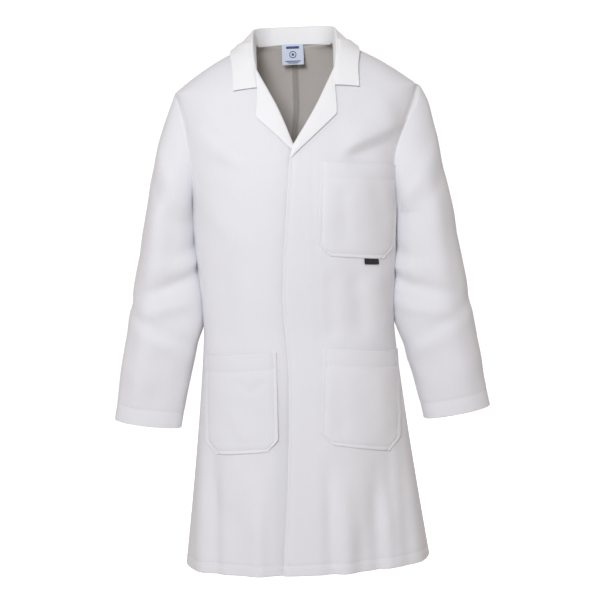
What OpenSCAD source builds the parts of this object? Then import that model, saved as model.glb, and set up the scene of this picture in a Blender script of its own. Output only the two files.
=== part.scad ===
// Lab coat, hung by its shoulders. +Z is up, the front faces -Y, and +X is the wearer's left.
// The origin is the shoulder seat: level with the neck ends of the shoulder seams, on the centre plane.

/* [Body] */
// Height from the hem to the neck end of the shoulder seam
coat_len = 1025; // [980:5:1080]
// Half width of the hem
hem_half_w = 246; // [235:1:262]
// Half depth of the hem
hem_half_d = 150; // [140:1:165]
// Half width at the waist
waist_half_w = 190; // [184:1:196]
// Half depth at the waist
waist_half_d = 126; // [120:1:134]
// Half width at the chest
chest_half_w = 203; // [199:1:206]
// Half depth at the chest, in front of the side seams
chest_half_d = 135; // [130:1:140]
// Half depth at the shoulder blades, behind the side seams
back_half_d = 128; // [122:1:134]
// Thickness that stands for one layer of cloth with its hems
cloth_t = 1.5; // [1.2:0.1:1.8]

/* [Shoulders] */
// Half breadth across the shoulders, armhole seam to armhole seam
shoulder_half_w = 238; // [232:1:244]
// Drop of the shoulder seam from the neck to the armhole
shoulder_drop = 85; // [80:1:90]
// Half width of the neck
neck_half_w = 80; // [78:1:82]
// Half height of the armhole
armhole_half_h = 113; // [110:1:116]

/* [Sleeves] */
// Distance of the cuff's middle from the centre plane
cuff_x = 309.5; // [305:0.5:316]
// Half width of the cuff opening
cuff_half_w = 66.5; // [60:0.5:68]
// Half depth of the cuff opening
cuff_half_d = 42; // [36:1:46]
// Height of the cuff's middle below the shoulder seat
cuff_drop = 737; // [720:1:750]

/* [Front] */
// Height of the foot of the V neck below the shoulder seat
v_drop = 197; // [190:1:204]
// Overlap of the two fronts
overlap = 46; // [44:1:48]
// How far the front edge lies over the centre at the foot of the V
edge_top = 7; // [4:1:10]
// How far the front edge lies over the centre at the hem
edge_hem = 48; // [40:1:52]
// Where the facing and the concealed strip behind the left front end, beyond the centre
facing_end_x = 35; // [33:0.5:35.5]

/* [Studs] */
// Number of press studs
stud_count = 6; // [4:1:6]
// Pitch of the press studs
stud_pitch = 100; // [90:1:100]
// Height of the top stud below the shoulder seat
stud_top = 240; // [236:1:250]
// Radius of a stud's cap
stud_r = 6; // [5:0.5:7]
// Radius of the post that snaps into the socket
post_r = 2; // [1.8:0.1:2.2]

/* [Pockets] */
// Stand-off of a pocket's cloth at its mouth
pocket_gap = 14; // [10:1:15]
// Cut across each lower corner of a pocket
pocket_chamfer = 22; // [16:1:26]

/* [Hidden] */

white = "#eeeef2";
shade = "#dcd9d8";
steel = "silver";
front = 1;
back = -1;
waist_z = -560;
armhole_z = -shoulder_drop - armhole_half_h;
armpit_z = armhole_z - armhole_half_h;
v_z = -v_drop;
hem_z = -coat_len;
// Angle round the body that half an armhole takes up
armhole_turn = 22;
// Angle round the body at which a panel stops short of a side or shoulder seam
seam_angle = 89.5;
// Top of the moving part of each front, under the collar's leaf
front_top_z = -98;
// Fold line of each front, from the neck to the side of the hem, where it swings open
fold_top_x = 104;
fold_slope = 0.154;
// Room on each side of the fold line
fold_gap = 2.5;
// Inner edge of the part of the left front that stays behind the chest pocket
pocket_clear_x = 38;
// Side edge of each moving front where it ends under the collar's leaf
under_collar_x = 74;
// Depths of the layers behind the left front's face
facing_in = 2.2;
cap_in = 3.9;
fly_in = 5.4;
socket_in = 7.0;
base_in = 11.2;
under_in = 12.8;
back_ring_in = 15.0;
under_facing_in = 16.6;
layer_t = 1.0;
// How far past the left front's edge the right front stays sunk behind it, and where it is level again
sunk_past = 6;
level_past = 42;

function mix(a, b, t) = a + (b - a) * t;
function clamp(t) = min(1, max(0, t));
function ease(t) = clamp(t) * clamp(t) * (3 - 2 * clamp(t));
function steps(n) = [for (i = [0 : n]) i / n];
function spread(levels, n) = [
    for (i = [0 : len(levels) - 2]) for (t = steps(n)) if (t < 1 || i == len(levels) - 2)
        mix(levels[i], levels[i + 1], t)
];

// Half width of the body at height z: the shoulder line, the chest, the waist and the flared skirt
function half_w(z) =
    z > -shoulder_drop
        ? mix(neck_half_w, shoulder_half_w, pow(max(0, -z) / shoulder_drop, 0.68))
    : z > armpit_z
        ? mix(chest_half_w, shoulder_half_w, ease((z - armpit_z) / (-shoulder_drop - armpit_z)))
    : z > waist_z
        ? mix(waist_half_w, chest_half_w, ease((z - waist_z) / (armpit_z - waist_z)))
    : mix(waist_half_w, hem_half_w, pow((waist_z - z) / (waist_z - hem_z), 1.2));

// Half depth of the body at height z, on the front or the back
function half_d(z, side) =
    let (chest = side == front ? chest_half_d : back_half_d)
    z > armpit_z
        ? mix(chest, side == front ? 45 : 64,
              pow((z - armpit_z) / -armpit_z, side == front ? 1.85 : 2.5))
    : z > waist_z
        ? mix(waist_half_d, chest, ease((z - waist_z) / (armpit_z - waist_z)))
    : mix(waist_half_d, hem_half_d, pow((waist_z - z) / (waist_z - hem_z), 1.2));

// Rows of the fronts. Layers that lie on each other share them, so that none cuts through the next.
front_rows = concat(
    spread([hem_z, waist_z], 12), [-530], spread([-500, -450], 4), spread([-415, -240], 5),
    [-228, -212, v_z], spread([v_z + 12, front_top_z], 3)
);
// Rows round the armhole, closer together where its edge curves in at the armpit
armhole_rows = [
    armpit_z - 1, armpit_z + 2, armpit_z + 8, armpit_z + 20, armpit_z + 40, armpit_z + 70,
    armhole_z, armhole_z + 45, armhole_z + 80, armhole_z + 102, -shoulder_drop
];
function rows_between(low, high) = [for (z = front_rows) if (z > low + 1 && z < high - 1) z];

function roundness(z) = mix(2.4, 2.1, ease((z - armpit_z) / -armpit_z));

// Point on the body at an angle from the centre plane, moved out by a distance
function skin(angle, z, side, out) =
    let (n = roundness(z), q = abs(sin(angle)))
    [
        (half_w(z) + out) * sin(angle),
        -side * (half_d(z, side) + out) * pow(max(0, 1 - pow(q, n)), 1 / n),
        z
    ];

function angle_at(x, z) = asin(max(-1, min(1, x / half_w(z))));
function fold_x(z) = fold_top_x - fold_slope * z;
function roll_x(z) = z < -48 ? 75 * (z - v_z) / (-48 - v_z) : mix(75, 80, clamp((z + 48) / 48));
function edge_x(z) = -mix(edge_top, edge_hem, clamp((v_z - z) / (v_z - hem_z)));
function under_edge_x(z) = -(edge_x(z) + overlap);
function armhole_angle(z) =
    let (k = (z - armhole_z) / armhole_half_h)
    abs(k) < 1 ? min(seam_angle, 90 - armhole_turn * sqrt(1 - k * k)) : seam_angle;

// Closes a grid of points and the same grid further in into one thin solid
module sheet(outer, inner) {
    rows = len(outer);
    cols = len(outer[0]);
    function at(face, r, c) = (face * rows + r) * cols + c;
    faces = concat(
        [for (r = [0 : rows - 2]) for (c = [0 : cols - 2]) for (f = [
            [at(0, r, c), at(0, r + 1, c), at(0, r + 1, c + 1)],
            [at(0, r, c), at(0, r + 1, c + 1), at(0, r, c + 1)],
            [at(1, r, c), at(1, r + 1, c + 1), at(1, r + 1, c)],
            [at(1, r, c), at(1, r, c + 1), at(1, r + 1, c + 1)]
        ]) f],
        [for (r = [0 : rows - 2]) for (f = [
            [at(0, r, 0), at(1, r, 0), at(1, r + 1, 0)],
            [at(0, r, 0), at(1, r + 1, 0), at(0, r + 1, 0)],
            [at(0, r, cols - 1), at(0, r + 1, cols - 1), at(1, r + 1, cols - 1)],
            [at(0, r, cols - 1), at(1, r + 1, cols - 1), at(1, r, cols - 1)]
        ]) f],
        [for (c = [0 : cols - 2]) for (f = [
            [at(0, 0, c), at(0, 0, c + 1), at(1, 0, c + 1)],
            [at(0, 0, c), at(1, 0, c + 1), at(1, 0, c)],
            [at(0, rows - 1, c), at(1, rows - 1, c + 1), at(0, rows - 1, c + 1)],
            [at(0, rows - 1, c), at(1, rows - 1, c), at(1, rows - 1, c + 1)]
        ]) f]
    );
    polyhedron(points = concat([for (r = outer) each r], [for (r = inner) each r]), faces = faces,
               convexity = 8);
}

// Thin panel of the body on the wearer's left: one [z, inner angle, outer angle] a row
module body_panel(rows, cols, side, in = 0, t = cloth_t) {
    function grid(out) = [for (r = rows) [for (u = steps(cols)) skin(mix(r[1], r[2], u), r[0], side, out)]];
    if (side == front)
        sheet(grid(-in), grid(-in - t));
    else
        sheet(grid(-in - t), grid(-in));
}

module wearers_right() {
    mirror([1, 0, 0]) children();
}

module back_half() {
    levels = concat(
        spread([hem_z, waist_z], 4), spread([waist_z + 60, armpit_z - 30], 3), armhole_rows,
        [-68, -50, -34, -20, -9, -1]
    );
    body_panel([for (z = levels) [z, 0.1, armhole_angle(z)]], 7, back);
}

module back_panel_left() {
    color(white) back_half();
}

module back_panel_right() {
    color(white) wearers_right() back_half();
}

// Flap of the right back that lies under the left back along the centre vent
module vent_underlap() {
    vent_top = -700;
    vent_w = 50;
    levels = spread([hem_z, vent_top], 5);
    color(shade) body_panel([for (z = levels) [z, 0.6, angle_at(vent_w, z)]], 2, back, 2.4, layer_t);
}

// Side edge of the moving part of a front. The left one passes inboard of the chest pocket.
function moving_side(z, has_chest_pocket) =
    let (
        fold = min(seam_angle - 0.4, angle_at(fold_x(z) - fold_gap, z)),
        beside = angle_at(has_chest_pocket ? pocket_clear_x : fold_x(z) - fold_gap, z),
        neck = angle_at(under_collar_x, z)
    )
    z > -228
        ? mix(beside, neck, ease((z + 228) / (front_top_z + 228)))
    : mix(fold, beside, ease((z + 500) / 50));

module front_panel(has_chest_pocket, under) {
    depth = under ? under_in : 0;
    function inner_x(z) = z > v_z + 1 ? roll_x(z) : under ? under_edge_x(z) : edge_x(z);
    function sunk(x, z) =
        depth * ease((level_past - edge_top - x - edge_x(z)) / (level_past - sunk_past - edge_top));
    function grid(extra) = [
        for (z = front_rows) [
            for (u = steps(12))
                let (a = mix(angle_at(inner_x(z), z), moving_side(z, has_chest_pocket), u))
                skin(a, z, front, -sunk(half_w(z) * sin(a), z) - extra)
        ]
    ];
    sheet(grid(0), grid(cloth_t));
}

module left_front_panel() {
    color(white) front_panel(true, false);
}

module right_front_panel() {
    color(white) wearers_right() front_panel(false, true);
}

// The rest of each front, which stays with the shoulder and the side seam
module front_side(has_chest_pocket) {
    collar_gap = 7;
    // Lowest row, where the fold line comes close to the side seam
    lowest = -502;
    function gap_angle(z) = 2 * fold_gap / half_w(z) * 180 / PI;
    above = [front_top_z + 6, -shoulder_drop, -68, -50, -34, -20, -9, -4];
    levels = concat(rows_between(lowest, front_top_z + 2), above);
    function inner(z) =
        z > front_top_z + 1
            ? angle_at(roll_x(z) + collar_gap, z)
        : moving_side(z, has_chest_pocket) + gap_angle(z);
    body_panel([for (z = levels) [z, min(inner(z), armhole_angle(z) - 1), armhole_angle(z)]], 6, front);
}

module left_front_side() {
    color(white) front_side(true);
}

module right_front_side() {
    color(white) wearers_right() front_side(false);
}

// Strip behind a front edge, level with the rows of the front: from an inset behind the edge to a
// distance beyond the centre, which is the wearer's left on the left front
module strip(under, inset, end_x, low, in) {
    levels = concat([low], rows_between(low, v_z - 20), [v_z - 16]);
    function from(z) = (under ? under_edge_x(z) : edge_x(z)) + inset;
    function to(z) = under ? -edge_x(z) + end_x : end_x;
    body_panel([for (z = levels) [z, angle_at(from(z), z), angle_at(to(z), z)]], 4, front, in, layer_t);
}

module left_facing() {
    color(shade) strip(false, 3, facing_end_x, hem_z + 4, facing_in);
}

module right_facing() {
    color(shade) wearers_right() strip(true, 3, sunk_past - 4, hem_z + 4, under_facing_in);
}

// Concealed strip behind the left front that carries the stud sockets
module fly_strip() {
    below_last_stud = 60;
    low = -stud_top - (stud_count - 1) * stud_pitch - below_last_stud;
    color(white) strip(false, 5, facing_end_x - 2, low, fly_in);
}

// Lapel folded back over the front: from the roll line out to its corner
module lapel(foot) {
    corner = [77, -139];
    notch_x = 74;
    foot_z = v_z + foot;
    top_z = front_top_z - 6;
    levels = spread([foot_z, corner[1], top_z], 4);
    function outer_x(z) =
        z < corner[1] ? mix(8, corner[0], (z - foot_z) / (corner[1] - foot_z))
        : mix(corner[0], notch_x, (z - corner[1]) / (top_z - corner[1]));
    function stand_off(u) = 3 + 5 * (1 - u) * (1 - u);
    function grid(extra) = [
        for (z = levels) [
            for (u = steps(4))
                let (a = mix(angle_at(max(0, roll_x(z)), z), angle_at(outer_x(z), z), u))
                skin(a, z, front, stand_off(u) - extra)
        ]
    ];
    sheet(grid(0), grid(layer_t));
}

module left_lapel() {
    color(white) lapel(-10);
}

module right_lapel() {
    color(white) wearers_right() translate([2, 0, 0]) lapel(4);
}

// Curve through hand-set points, as a Catmull-Rom spline
function spline(p, t) =
    let (
        n = len(p) - 1,
        i = min(n - 1, floor(t * n)),
        f = t * n - i,
        a = p[max(0, i - 1)],
        b = p[i],
        c = p[i + 1],
        d = p[min(n, i + 2)]
    )
    0.5 * (2 * b + (c - a) * f + (2 * a - 5 * b + 4 * c - d) * f * f + (3 * b - a - 3 * c + d) * f * f * f);

// Both halves of a symmetrical curve, from the wearer's right end to the left end
function mirrored(p) = concat(
    [for (i = [len(p) - 1 : -1 : 1]) [-p[i][0], p[i][1], p[i][2]]],
    p
);

// Collar curves from the centre back to the front end: neck seam, rolled top edge and outer edge
stand_base = [[0, 60, 2], [48, 54, 2], [72, 26, 2], [76, -6, 0], [73, -42, -30], [66, -62, -58]];
stand_top = [[0, 64, 36], [50, 56, 36], [80, 24, 32], [85, -12, 14], [80, -50, -22], [70, -74, -52]];
leaf_top = [[0, 68, 38], [53, 60, 38], [84, 27, 34], [90, -12, 14], [85, -56, -24], [66, -94, -76]];
leaf_edge = [[0, 87, -22], [62, 79, -18], [108, 54, -6], [121, 6, 0], [125, -58, -34], [121, -88, -86]];

// Band of cloth between two collar curves, moved by a vector away from the neck for its thickness
module collar_band(low, high, stations, rise) {
    a = mirrored(low);
    b = mirrored(high);
    function away(p) = let (r = norm([p[0], p[1], 0])) [p[0] / r, p[1] / r, 0.35];
    function grid(out) = [
        for (s = steps(stations)) let (p = spline(a, s), q = spline(b, s)) [
            for (u = steps(rise)) mix(p, q, u) + out * away(mix(p, q, u))
        ]
    ];
    sheet(grid(0), grid(cloth_t));
}

module under_collar() {
    color(shade) collar_band(stand_top, stand_base, 24, 3);
}

module top_collar() {
    color(white) collar_band(leaf_top, leaf_edge, 28, 4);
}

// Point on a sleeve: turn 0 is the outside of the arm, 90 the front; along runs from armhole to cuff
function sleeve_point(turn, along, in) =
    let (
        head = 0.36,
        sleeve_gap = 2.2,
        fullness = 11,
        k = cos(turn),
        f = sin(turn),
        hole_z = armhole_z + (armhole_half_h - in) * k,
        hole_angle = 90 - max(0.3, armhole_turn * abs(f) - in / 4),
        hole = skin(hole_angle, hole_z, f < 0 ? back : front, 0) + [sleeve_gap, 0, 0],
        arm = tube_point(k, f, 0, in),
        u = along / head
    )
    along < head
        ? mix(hole, arm, u) + fullness * sin(180 * u) * [max(0, k), -0.8 * f, 0.5 * max(0, k)]
        : tube_point(k, f, (along - head) / (1 - head), in);

// Point on the sleeve below its head: v runs from the upper arm to the cuff
function tube_point(k, f, v, in) =
    let (
        low = v < 0.5,
        w = low ? ease(v * 2) : ease(v * 2 - 1),
        x = low ? mix(253, 269, v * 2) : mix(269, cuff_x, v * 2 - 1),
        hw = low ? mix(49, 72, w) : mix(72, cuff_half_w, w),
        hd = low ? mix(74, 58, w) : mix(58, cuff_half_d, w),
        y = mix(0, -15, v),
        z = mix(-330, -cuff_drop, v)
    )
    [x + (hw - in) * k, y - (hd - in) * f, z + 0.16 * hw * k];

// Length of tube on a sleeve, from one slanted end to the other: each end is the share of the way along
// at the inside, the front and the outside of the arm
module sleeve_tube(start, stop, rings) {
    sides = 20;
    function end(e, k) = k < 0 ? mix(e[1], e[0], -k) : mix(e[1], e[2], k);
    function ring(t, in) = [
        for (i = [0 : sides - 1]) let (turn = 360 * i / sides, k = cos(turn))
            sleeve_point(turn, mix(end(start, k), end(stop, k), t), in)
    ];
    function tube(in) = [for (t = steps(rings)) ring(t, in)];
    points = concat([for (r = tube(0)) each r], [for (r = tube(cloth_t)) each r]);
    function at(face, r, i) = (face * (rings + 1) + r) * sides + i % sides;
    faces = concat(
        [for (r = [0 : rings - 1]) for (i = [0 : sides - 1]) for (f = [
            [at(0, r, i), at(0, r + 1, i + 1), at(0, r, i + 1)],
            [at(0, r, i), at(0, r + 1, i), at(0, r + 1, i + 1)],
            [at(1, r, i), at(1, r, i + 1), at(1, r + 1, i + 1)],
            [at(1, r, i), at(1, r + 1, i + 1), at(1, r + 1, i)]
        ]) f],
        [for (i = [0 : sides - 1]) for (f = [
            [at(0, 0, i), at(0, 0, i + 1), at(1, 0, i + 1)],
            [at(0, 0, i), at(1, 0, i + 1), at(1, 0, i)],
            [at(0, rings, i), at(1, rings, i + 1), at(0, rings, i + 1)],
            [at(0, rings, i), at(1, rings, i), at(1, rings, i + 1)]
        ]) f]
    );
    polyhedron(points = points, faces = faces, convexity = 8);
}

// Head of a sleeve, which stays with the shoulder
module sleeve_head() {
    sleeve_tube([0, 0, 0], [0.144, 0.216, 0.288], 5);
}

// Arm of a sleeve, which swings out from the armpit; the wedge above it is room for the swing
module sleeve_arm() {
    sleeve_tube([0.234, 0.375, 0.405], [1, 1, 1], 11);
}

module left_sleeve_head() {
    color(white) sleeve_head();
}

module right_sleeve_head() {
    color(white) wearers_right() sleeve_head();
}

module left_sleeve() {
    color(white) sleeve_arm();
}

module right_sleeve() {
    color(white) wearers_right() sleeve_arm();
}

// Patch pocket: two ends of its mouth, two ends of its foot, each as [x, z], inner end first
module pocket(mouth, foot) {
    rows = concat([0, pocket_chamfer / 200, pocket_chamfer / 100], spread([0.4, 1], 4));
    cols = 8;
    edge_off = 2.4;
    function cut(v, u) = sign(1 - 2 * u) * pocket_chamfer * max(0, 1 - v * 100 / pocket_chamfer);
    function low(u) = mix(foot[0], foot[1], u);
    function high(u) = mix(mouth[0], mouth[1], u);
    function place(v, u) = mix(low(u), high(u), v) + [cut(v, u) * abs(2 * u - 1), 0];
    function stand_off(v, u) =
        edge_off + (pocket_gap - edge_off) * (1 - pow(abs(2 * u - 1), 4)) * ease(v / 0.35);
    function grid(extra) = [
        for (v = rows) [
            for (u = steps(cols)) let (p = place(v, u))
                skin(angle_at(p[0], p[1]), p[1], front, stand_off(v, u) - extra)
        ]
    ];
    sheet(grid(0), grid(cloth_t));
}

module chest_pocket() {
    color(white) pocket([[53, -228], [190, -240]], [[43, -406], [178, -420]]);
}

module left_hip_pocket() {
    color(white) pocket([[46, -587], [184, -600]], [[36, -778], [188, -800]]);
}

module right_hip_pocket() {
    color(white) wearers_right() pocket([[46, -590], [184, -598]], [[48, -790], [188, -794]]);
}

// Small folded tab sewn into the foot seam of the chest pocket
module pocket_tab() {
    tab = [26, 12];
    stand_off = 3.2;
    z = -424;
    x = 130;
    color("#202022")
        body_panel([for (v = [0, 1]) [z - tab[1] * (1 - v), angle_at(x, z), angle_at(x + tab[0], z)]], 2,
                   front, -stand_off, layer_t);
}

// Places one ring or disc for each stud: its axis points out of the front, square to the cloth
module each_stud(in) {
    for (i = [0 : stud_count - 1]) {
        z = -stud_top - i * stud_pitch;
        x = edge_x(z) + overlap / 2 + 4;
        here = skin(angle_at(x, z), z, front, -in);
        above = skin(angle_at(x, z + 5), z + 5, front, -in);
        beside = skin(angle_at(x + 5, z), z, front, -in);
        lean = atan2(above[1] - here[1], above[2] - here[2]);
        turn = atan2(beside[1] - here[1], beside[0] - here[0]);
        translate(here) rotate([0, 0, turn]) rotate([90 - lean, 0, 0]) children();
    }
}

// Caps of the sockets, on the face of the fly strip
module stud_caps() {
    color(steel) each_stud(cap_in + 0.8) cylinder(h = 0.8, r = stud_r, $fn = 32);
}

// Sockets of the studs, behind the fly strip
module stud_sockets() {
    socket_h = 2.2;
    color(steel) each_stud(socket_in + socket_h) difference() {
        cylinder(h = socket_h, r = stud_r, $fn = 32);
        translate([0, 0, -1]) cylinder(h = socket_h + 0.4, r = post_r + 1.3, $fn = 32);
    }
}

// Studs on the right front: a base with a post that snaps into the socket
module stud_posts() {
    base_h = 0.8;
    post_h = 3;
    color(steel) each_stud(base_in + base_h) union() {
        cylinder(h = base_h, r = stud_r, $fn = 32);
        cylinder(h = base_h + post_h, r = post_r, $fn = 32);
    }
}

// Rings that hold the studs from behind the right front
module stud_backs() {
    ring_h = 0.8;
    color(steel) each_stud(back_ring_in + ring_h) difference() {
        cylinder(h = ring_h, r = stud_r, $fn = 32);
        translate([0, 0, -1]) cylinder(h = ring_h + 2, r = post_r, $fn = 32);
    }
}

// Woven label sewn under the collar seam inside the back
module neck_label() {
    label = [43, 1, 42];
    foot_y = 50;
    top_z = 6;
    hang = 8;
    color("#c9cbe4") translate([-label[0] / 2, foot_y, top_z - label[2]]) rotate([-hang, 0, 0]) cube(label);
}

// Tape loop to hang the coat by, sewn across the back neck seam behind the label
module hanger_loop() {
    loop_half_w = 17;
    tape = 5;
    color(white) translate([0, 63, -4]) rotate([82, 0, 0]) difference() {
        linear_extrude(height = 1) intersection() {
            circle(r = loop_half_w + tape, $fn = 48);
            translate([-40, -40]) square([80, 40]);
        }
        translate([0, 0, -1]) cylinder(h = 3, r = loop_half_w, $fn = 48);
    }
}

back_panel_left();
back_panel_right();
vent_underlap();
left_front_side();
right_front_side();
left_front_panel();
right_front_panel();
left_facing();
right_facing();
left_lapel();
right_lapel();
fly_strip();
left_sleeve_head();
right_sleeve_head();
left_sleeve();
right_sleeve();
under_collar();
top_collar();
chest_pocket();
left_hip_pocket();
right_hip_pocket();
stud_caps();
stud_sockets();
stud_posts();
stud_backs();
neck_label();
pocket_tab();
hanger_loop();
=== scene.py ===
import math

import bmesh
import bpy
import numpy as np
from mathutils import Matrix, Vector


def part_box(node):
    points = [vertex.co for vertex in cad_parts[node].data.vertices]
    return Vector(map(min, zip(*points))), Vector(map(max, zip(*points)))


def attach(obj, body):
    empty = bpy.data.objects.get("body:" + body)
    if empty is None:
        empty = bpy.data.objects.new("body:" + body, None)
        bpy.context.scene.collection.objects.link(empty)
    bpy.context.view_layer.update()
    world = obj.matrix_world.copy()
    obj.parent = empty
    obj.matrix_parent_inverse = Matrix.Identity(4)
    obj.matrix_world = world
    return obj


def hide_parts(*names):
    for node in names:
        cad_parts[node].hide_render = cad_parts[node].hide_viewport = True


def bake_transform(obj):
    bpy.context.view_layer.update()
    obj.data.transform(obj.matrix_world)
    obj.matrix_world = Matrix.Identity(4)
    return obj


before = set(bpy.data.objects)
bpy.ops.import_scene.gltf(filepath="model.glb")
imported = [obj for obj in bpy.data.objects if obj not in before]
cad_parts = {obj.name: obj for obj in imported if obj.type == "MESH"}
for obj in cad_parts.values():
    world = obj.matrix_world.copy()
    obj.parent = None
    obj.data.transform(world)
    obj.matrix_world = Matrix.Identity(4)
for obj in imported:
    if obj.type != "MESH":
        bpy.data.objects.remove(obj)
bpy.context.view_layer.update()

# Sizes of the coat in metres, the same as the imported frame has
FRONT, BACK = 1, -1
LEFT, RIGHT = 1, -1
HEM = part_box("back_panel_left")[0].z
WAIST = -0.560
SHOULDER_DROP = 0.085
ARMHOLE = -0.198
ARMHOLE_HALF = 0.113
ARMPIT = ARMHOLE - ARMHOLE_HALF
V_FOOT = -0.197
LAPEL_FOOT = -0.222
HEM_W, WAIST_W, CHEST_W, SHOULDER_W, NECK_W = 0.246, 0.190, 0.203, 0.238, 0.080
HEM_D, WAIST_D, CHEST_D, BLADE_D = 0.150, 0.126, 0.135, 0.128
ARMHOLE_TURN = math.radians(22)
# Powers of the curves that the shoulders slope and the skirt flares by
SHOULDER_POWER, SKIRT_POWER = 0.68, 1.2
# Depth at the chest and at the top, and the power of the curve between them
YOKE = {FRONT: (CHEST_D, 0.045, 1.85), BACK: (BLADE_D, 0.064, 2.5)}
LEAN = 0.012
UPPER = -0.100
VENT_TOP = -0.700
FACING_END = 0.035
FLY_X, FLY_LOW = 0.038, -0.83
HEM_BAND = 0.020
CLOTH = 0.0008
NAPE = 0.010


def mix(a, b, t):
    return a + (b - a) * t


def ease(t):
    t = np.clip(t, 0, 1)
    return t * t * (3 - 2 * t)


def ramp(value, low, high):
    return ease((value - low) / (high - low))


def curve(points, t):
    """Catmull-Rom spline through given points, at shares t of its length."""
    p = np.array(points, float)
    n = len(p) - 1
    t = np.asarray(t, float) * n
    i = np.clip(np.floor(t).astype(int), 0, n - 1)
    f = (t - i)[..., None]
    a, b, c, d = p[np.maximum(i - 1, 0)], p[i], p[i + 1], p[np.minimum(i + 2, n)]
    return 0.5 * (
        2 * b + (c - a) * f + (2 * a - 5 * b + 4 * c - d) * f**2 + (3 * b - a - 3 * c + d) * f**3
    )


def smooth_steps(points, at):
    """Smooth value through given (place, value) pairs, whose places rise."""
    p = np.array(points, float)
    share = np.interp(at, p[:, 0], np.linspace(0, 1, len(p)))
    return curve(p, share)[..., 1]


def straight_steps(points, at):
    """Value along straight lines through given (place, value) pairs, whose places rise."""
    p = np.array(points)
    return np.interp(at, p[:, 0], p[:, 1])


# ---- The body's surface, as the frame has it ----


def half_w(z):
    z = np.asarray(z, float)
    neck = mix(NECK_W, SHOULDER_W, (np.clip(-z, 0, SHOULDER_DROP) / SHOULDER_DROP) ** SHOULDER_POWER)
    arm = mix(CHEST_W, SHOULDER_W, ramp(z, ARMPIT, -SHOULDER_DROP))
    torso = mix(WAIST_W, CHEST_W, ramp(z, WAIST, ARMPIT))
    skirt = mix(WAIST_W, HEM_W, (np.clip(WAIST - z, 0, None) / (WAIST - HEM)) ** SKIRT_POWER)
    return np.select([z > -SHOULDER_DROP, z > ARMPIT, z > WAIST], [neck, arm, torso], skirt)


def half_d(z, side):
    z = np.asarray(z, float)
    chest, top, power = YOKE[side]
    arm = mix(chest, top, (np.clip(z - ARMPIT, 0, -ARMPIT) / -ARMPIT) ** power)
    torso = mix(WAIST_D, chest, ramp(z, WAIST, ARMPIT))
    skirt = mix(WAIST_D, HEM_D, (np.clip(WAIST - z, 0, None) / (WAIST - HEM)) ** SKIRT_POWER)
    return np.select([z > ARMPIT, z > WAIST], [arm, torso], skirt)


def roundness(z):
    return mix(2.4, 2.1, ramp(z, ARMPIT, 0))


def exact_depth(x, z, side):
    n = roundness(z)
    q = np.clip(np.abs(x) / half_w(z), 0, 1)
    return -side * half_d(z, side) * (1 - q**n) ** (1 / n)


def depth(x, z, side):
    """y of the body's surface, smoothed where the yoke meets the chest and exact along its seams."""
    x, z = np.asarray(x, float), np.asarray(z, float)
    q = np.clip(np.abs(x) / half_w(z), 0, 1)
    reach = 0.018 * (1 - q**5) * ramp(z, -0.20, -0.13) * ramp(z, 0.0, -0.03)
    return sum(exact_depth(x, z + reach * step, side) for step in (-1, -0.66, -0.33, 0, 0.33, 0.66, 1)) / 7


def outward(x, y, z, side):
    """Unit normals of the body's smooth surface."""
    def level(h):
        n = roundness(h)
        return (np.abs(x) / half_w(h)) ** n + (np.abs(y) / half_d(h, side)) ** n
    step = 0.0004
    n = roundness(z)
    a, b = half_w(z), half_d(z, side)
    grad = np.stack([
        np.sign(x) * n * (np.abs(x) / a) ** (n - 1) / a,
        np.sign(y) * n * (np.abs(y) / b) ** (n - 1) / b,
        (level(np.minimum(z + step, 0)) - level(z - step)) / (np.minimum(z + step, 0) - z + step),
    ], -1)
    return grad / np.maximum(np.linalg.norm(grad, axis=-1, keepdims=True), 1e-9)


def lean(z):
    """The shoulders hang a little towards the wearer's left."""
    return LEAN * ramp(z, -0.235, -0.105)


def armhole_edge(z):
    """x of the armhole's edge on the body, or of the side and shoulder seams elsewhere."""
    k = np.clip((z - ARMHOLE) / ARMHOLE_HALF, -1, 1)
    return half_w(z) * np.sin(math.pi / 2 - ARMHOLE_TURN * np.sqrt(1 - k * k))


# The lapels' fold line from its foot up, as (z, x)
ROLL = [(V_FOOT, -0.002), (-0.048, 0.075), (0.0, 0.080)]
# Edge of the wearer's left front from the hem up, as (z, x)
OVER_EDGE = [(-1.025, -0.048), (-0.89, -0.037), (-0.755, -0.0285), (-0.62, -0.0245), (-0.489, -0.030),
             (-0.355, -0.020), (-0.222, -0.007), (-0.197, -0.002)]


def over_edge(z):
    return smooth_steps(OVER_EDGE, np.clip(z, HEM, V_FOOT))


# ---- Soft folds of the hanging cloth ----
# Each is its two ends as (x, z), its width on either side, and its height: ridges rise, hollows sink

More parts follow.
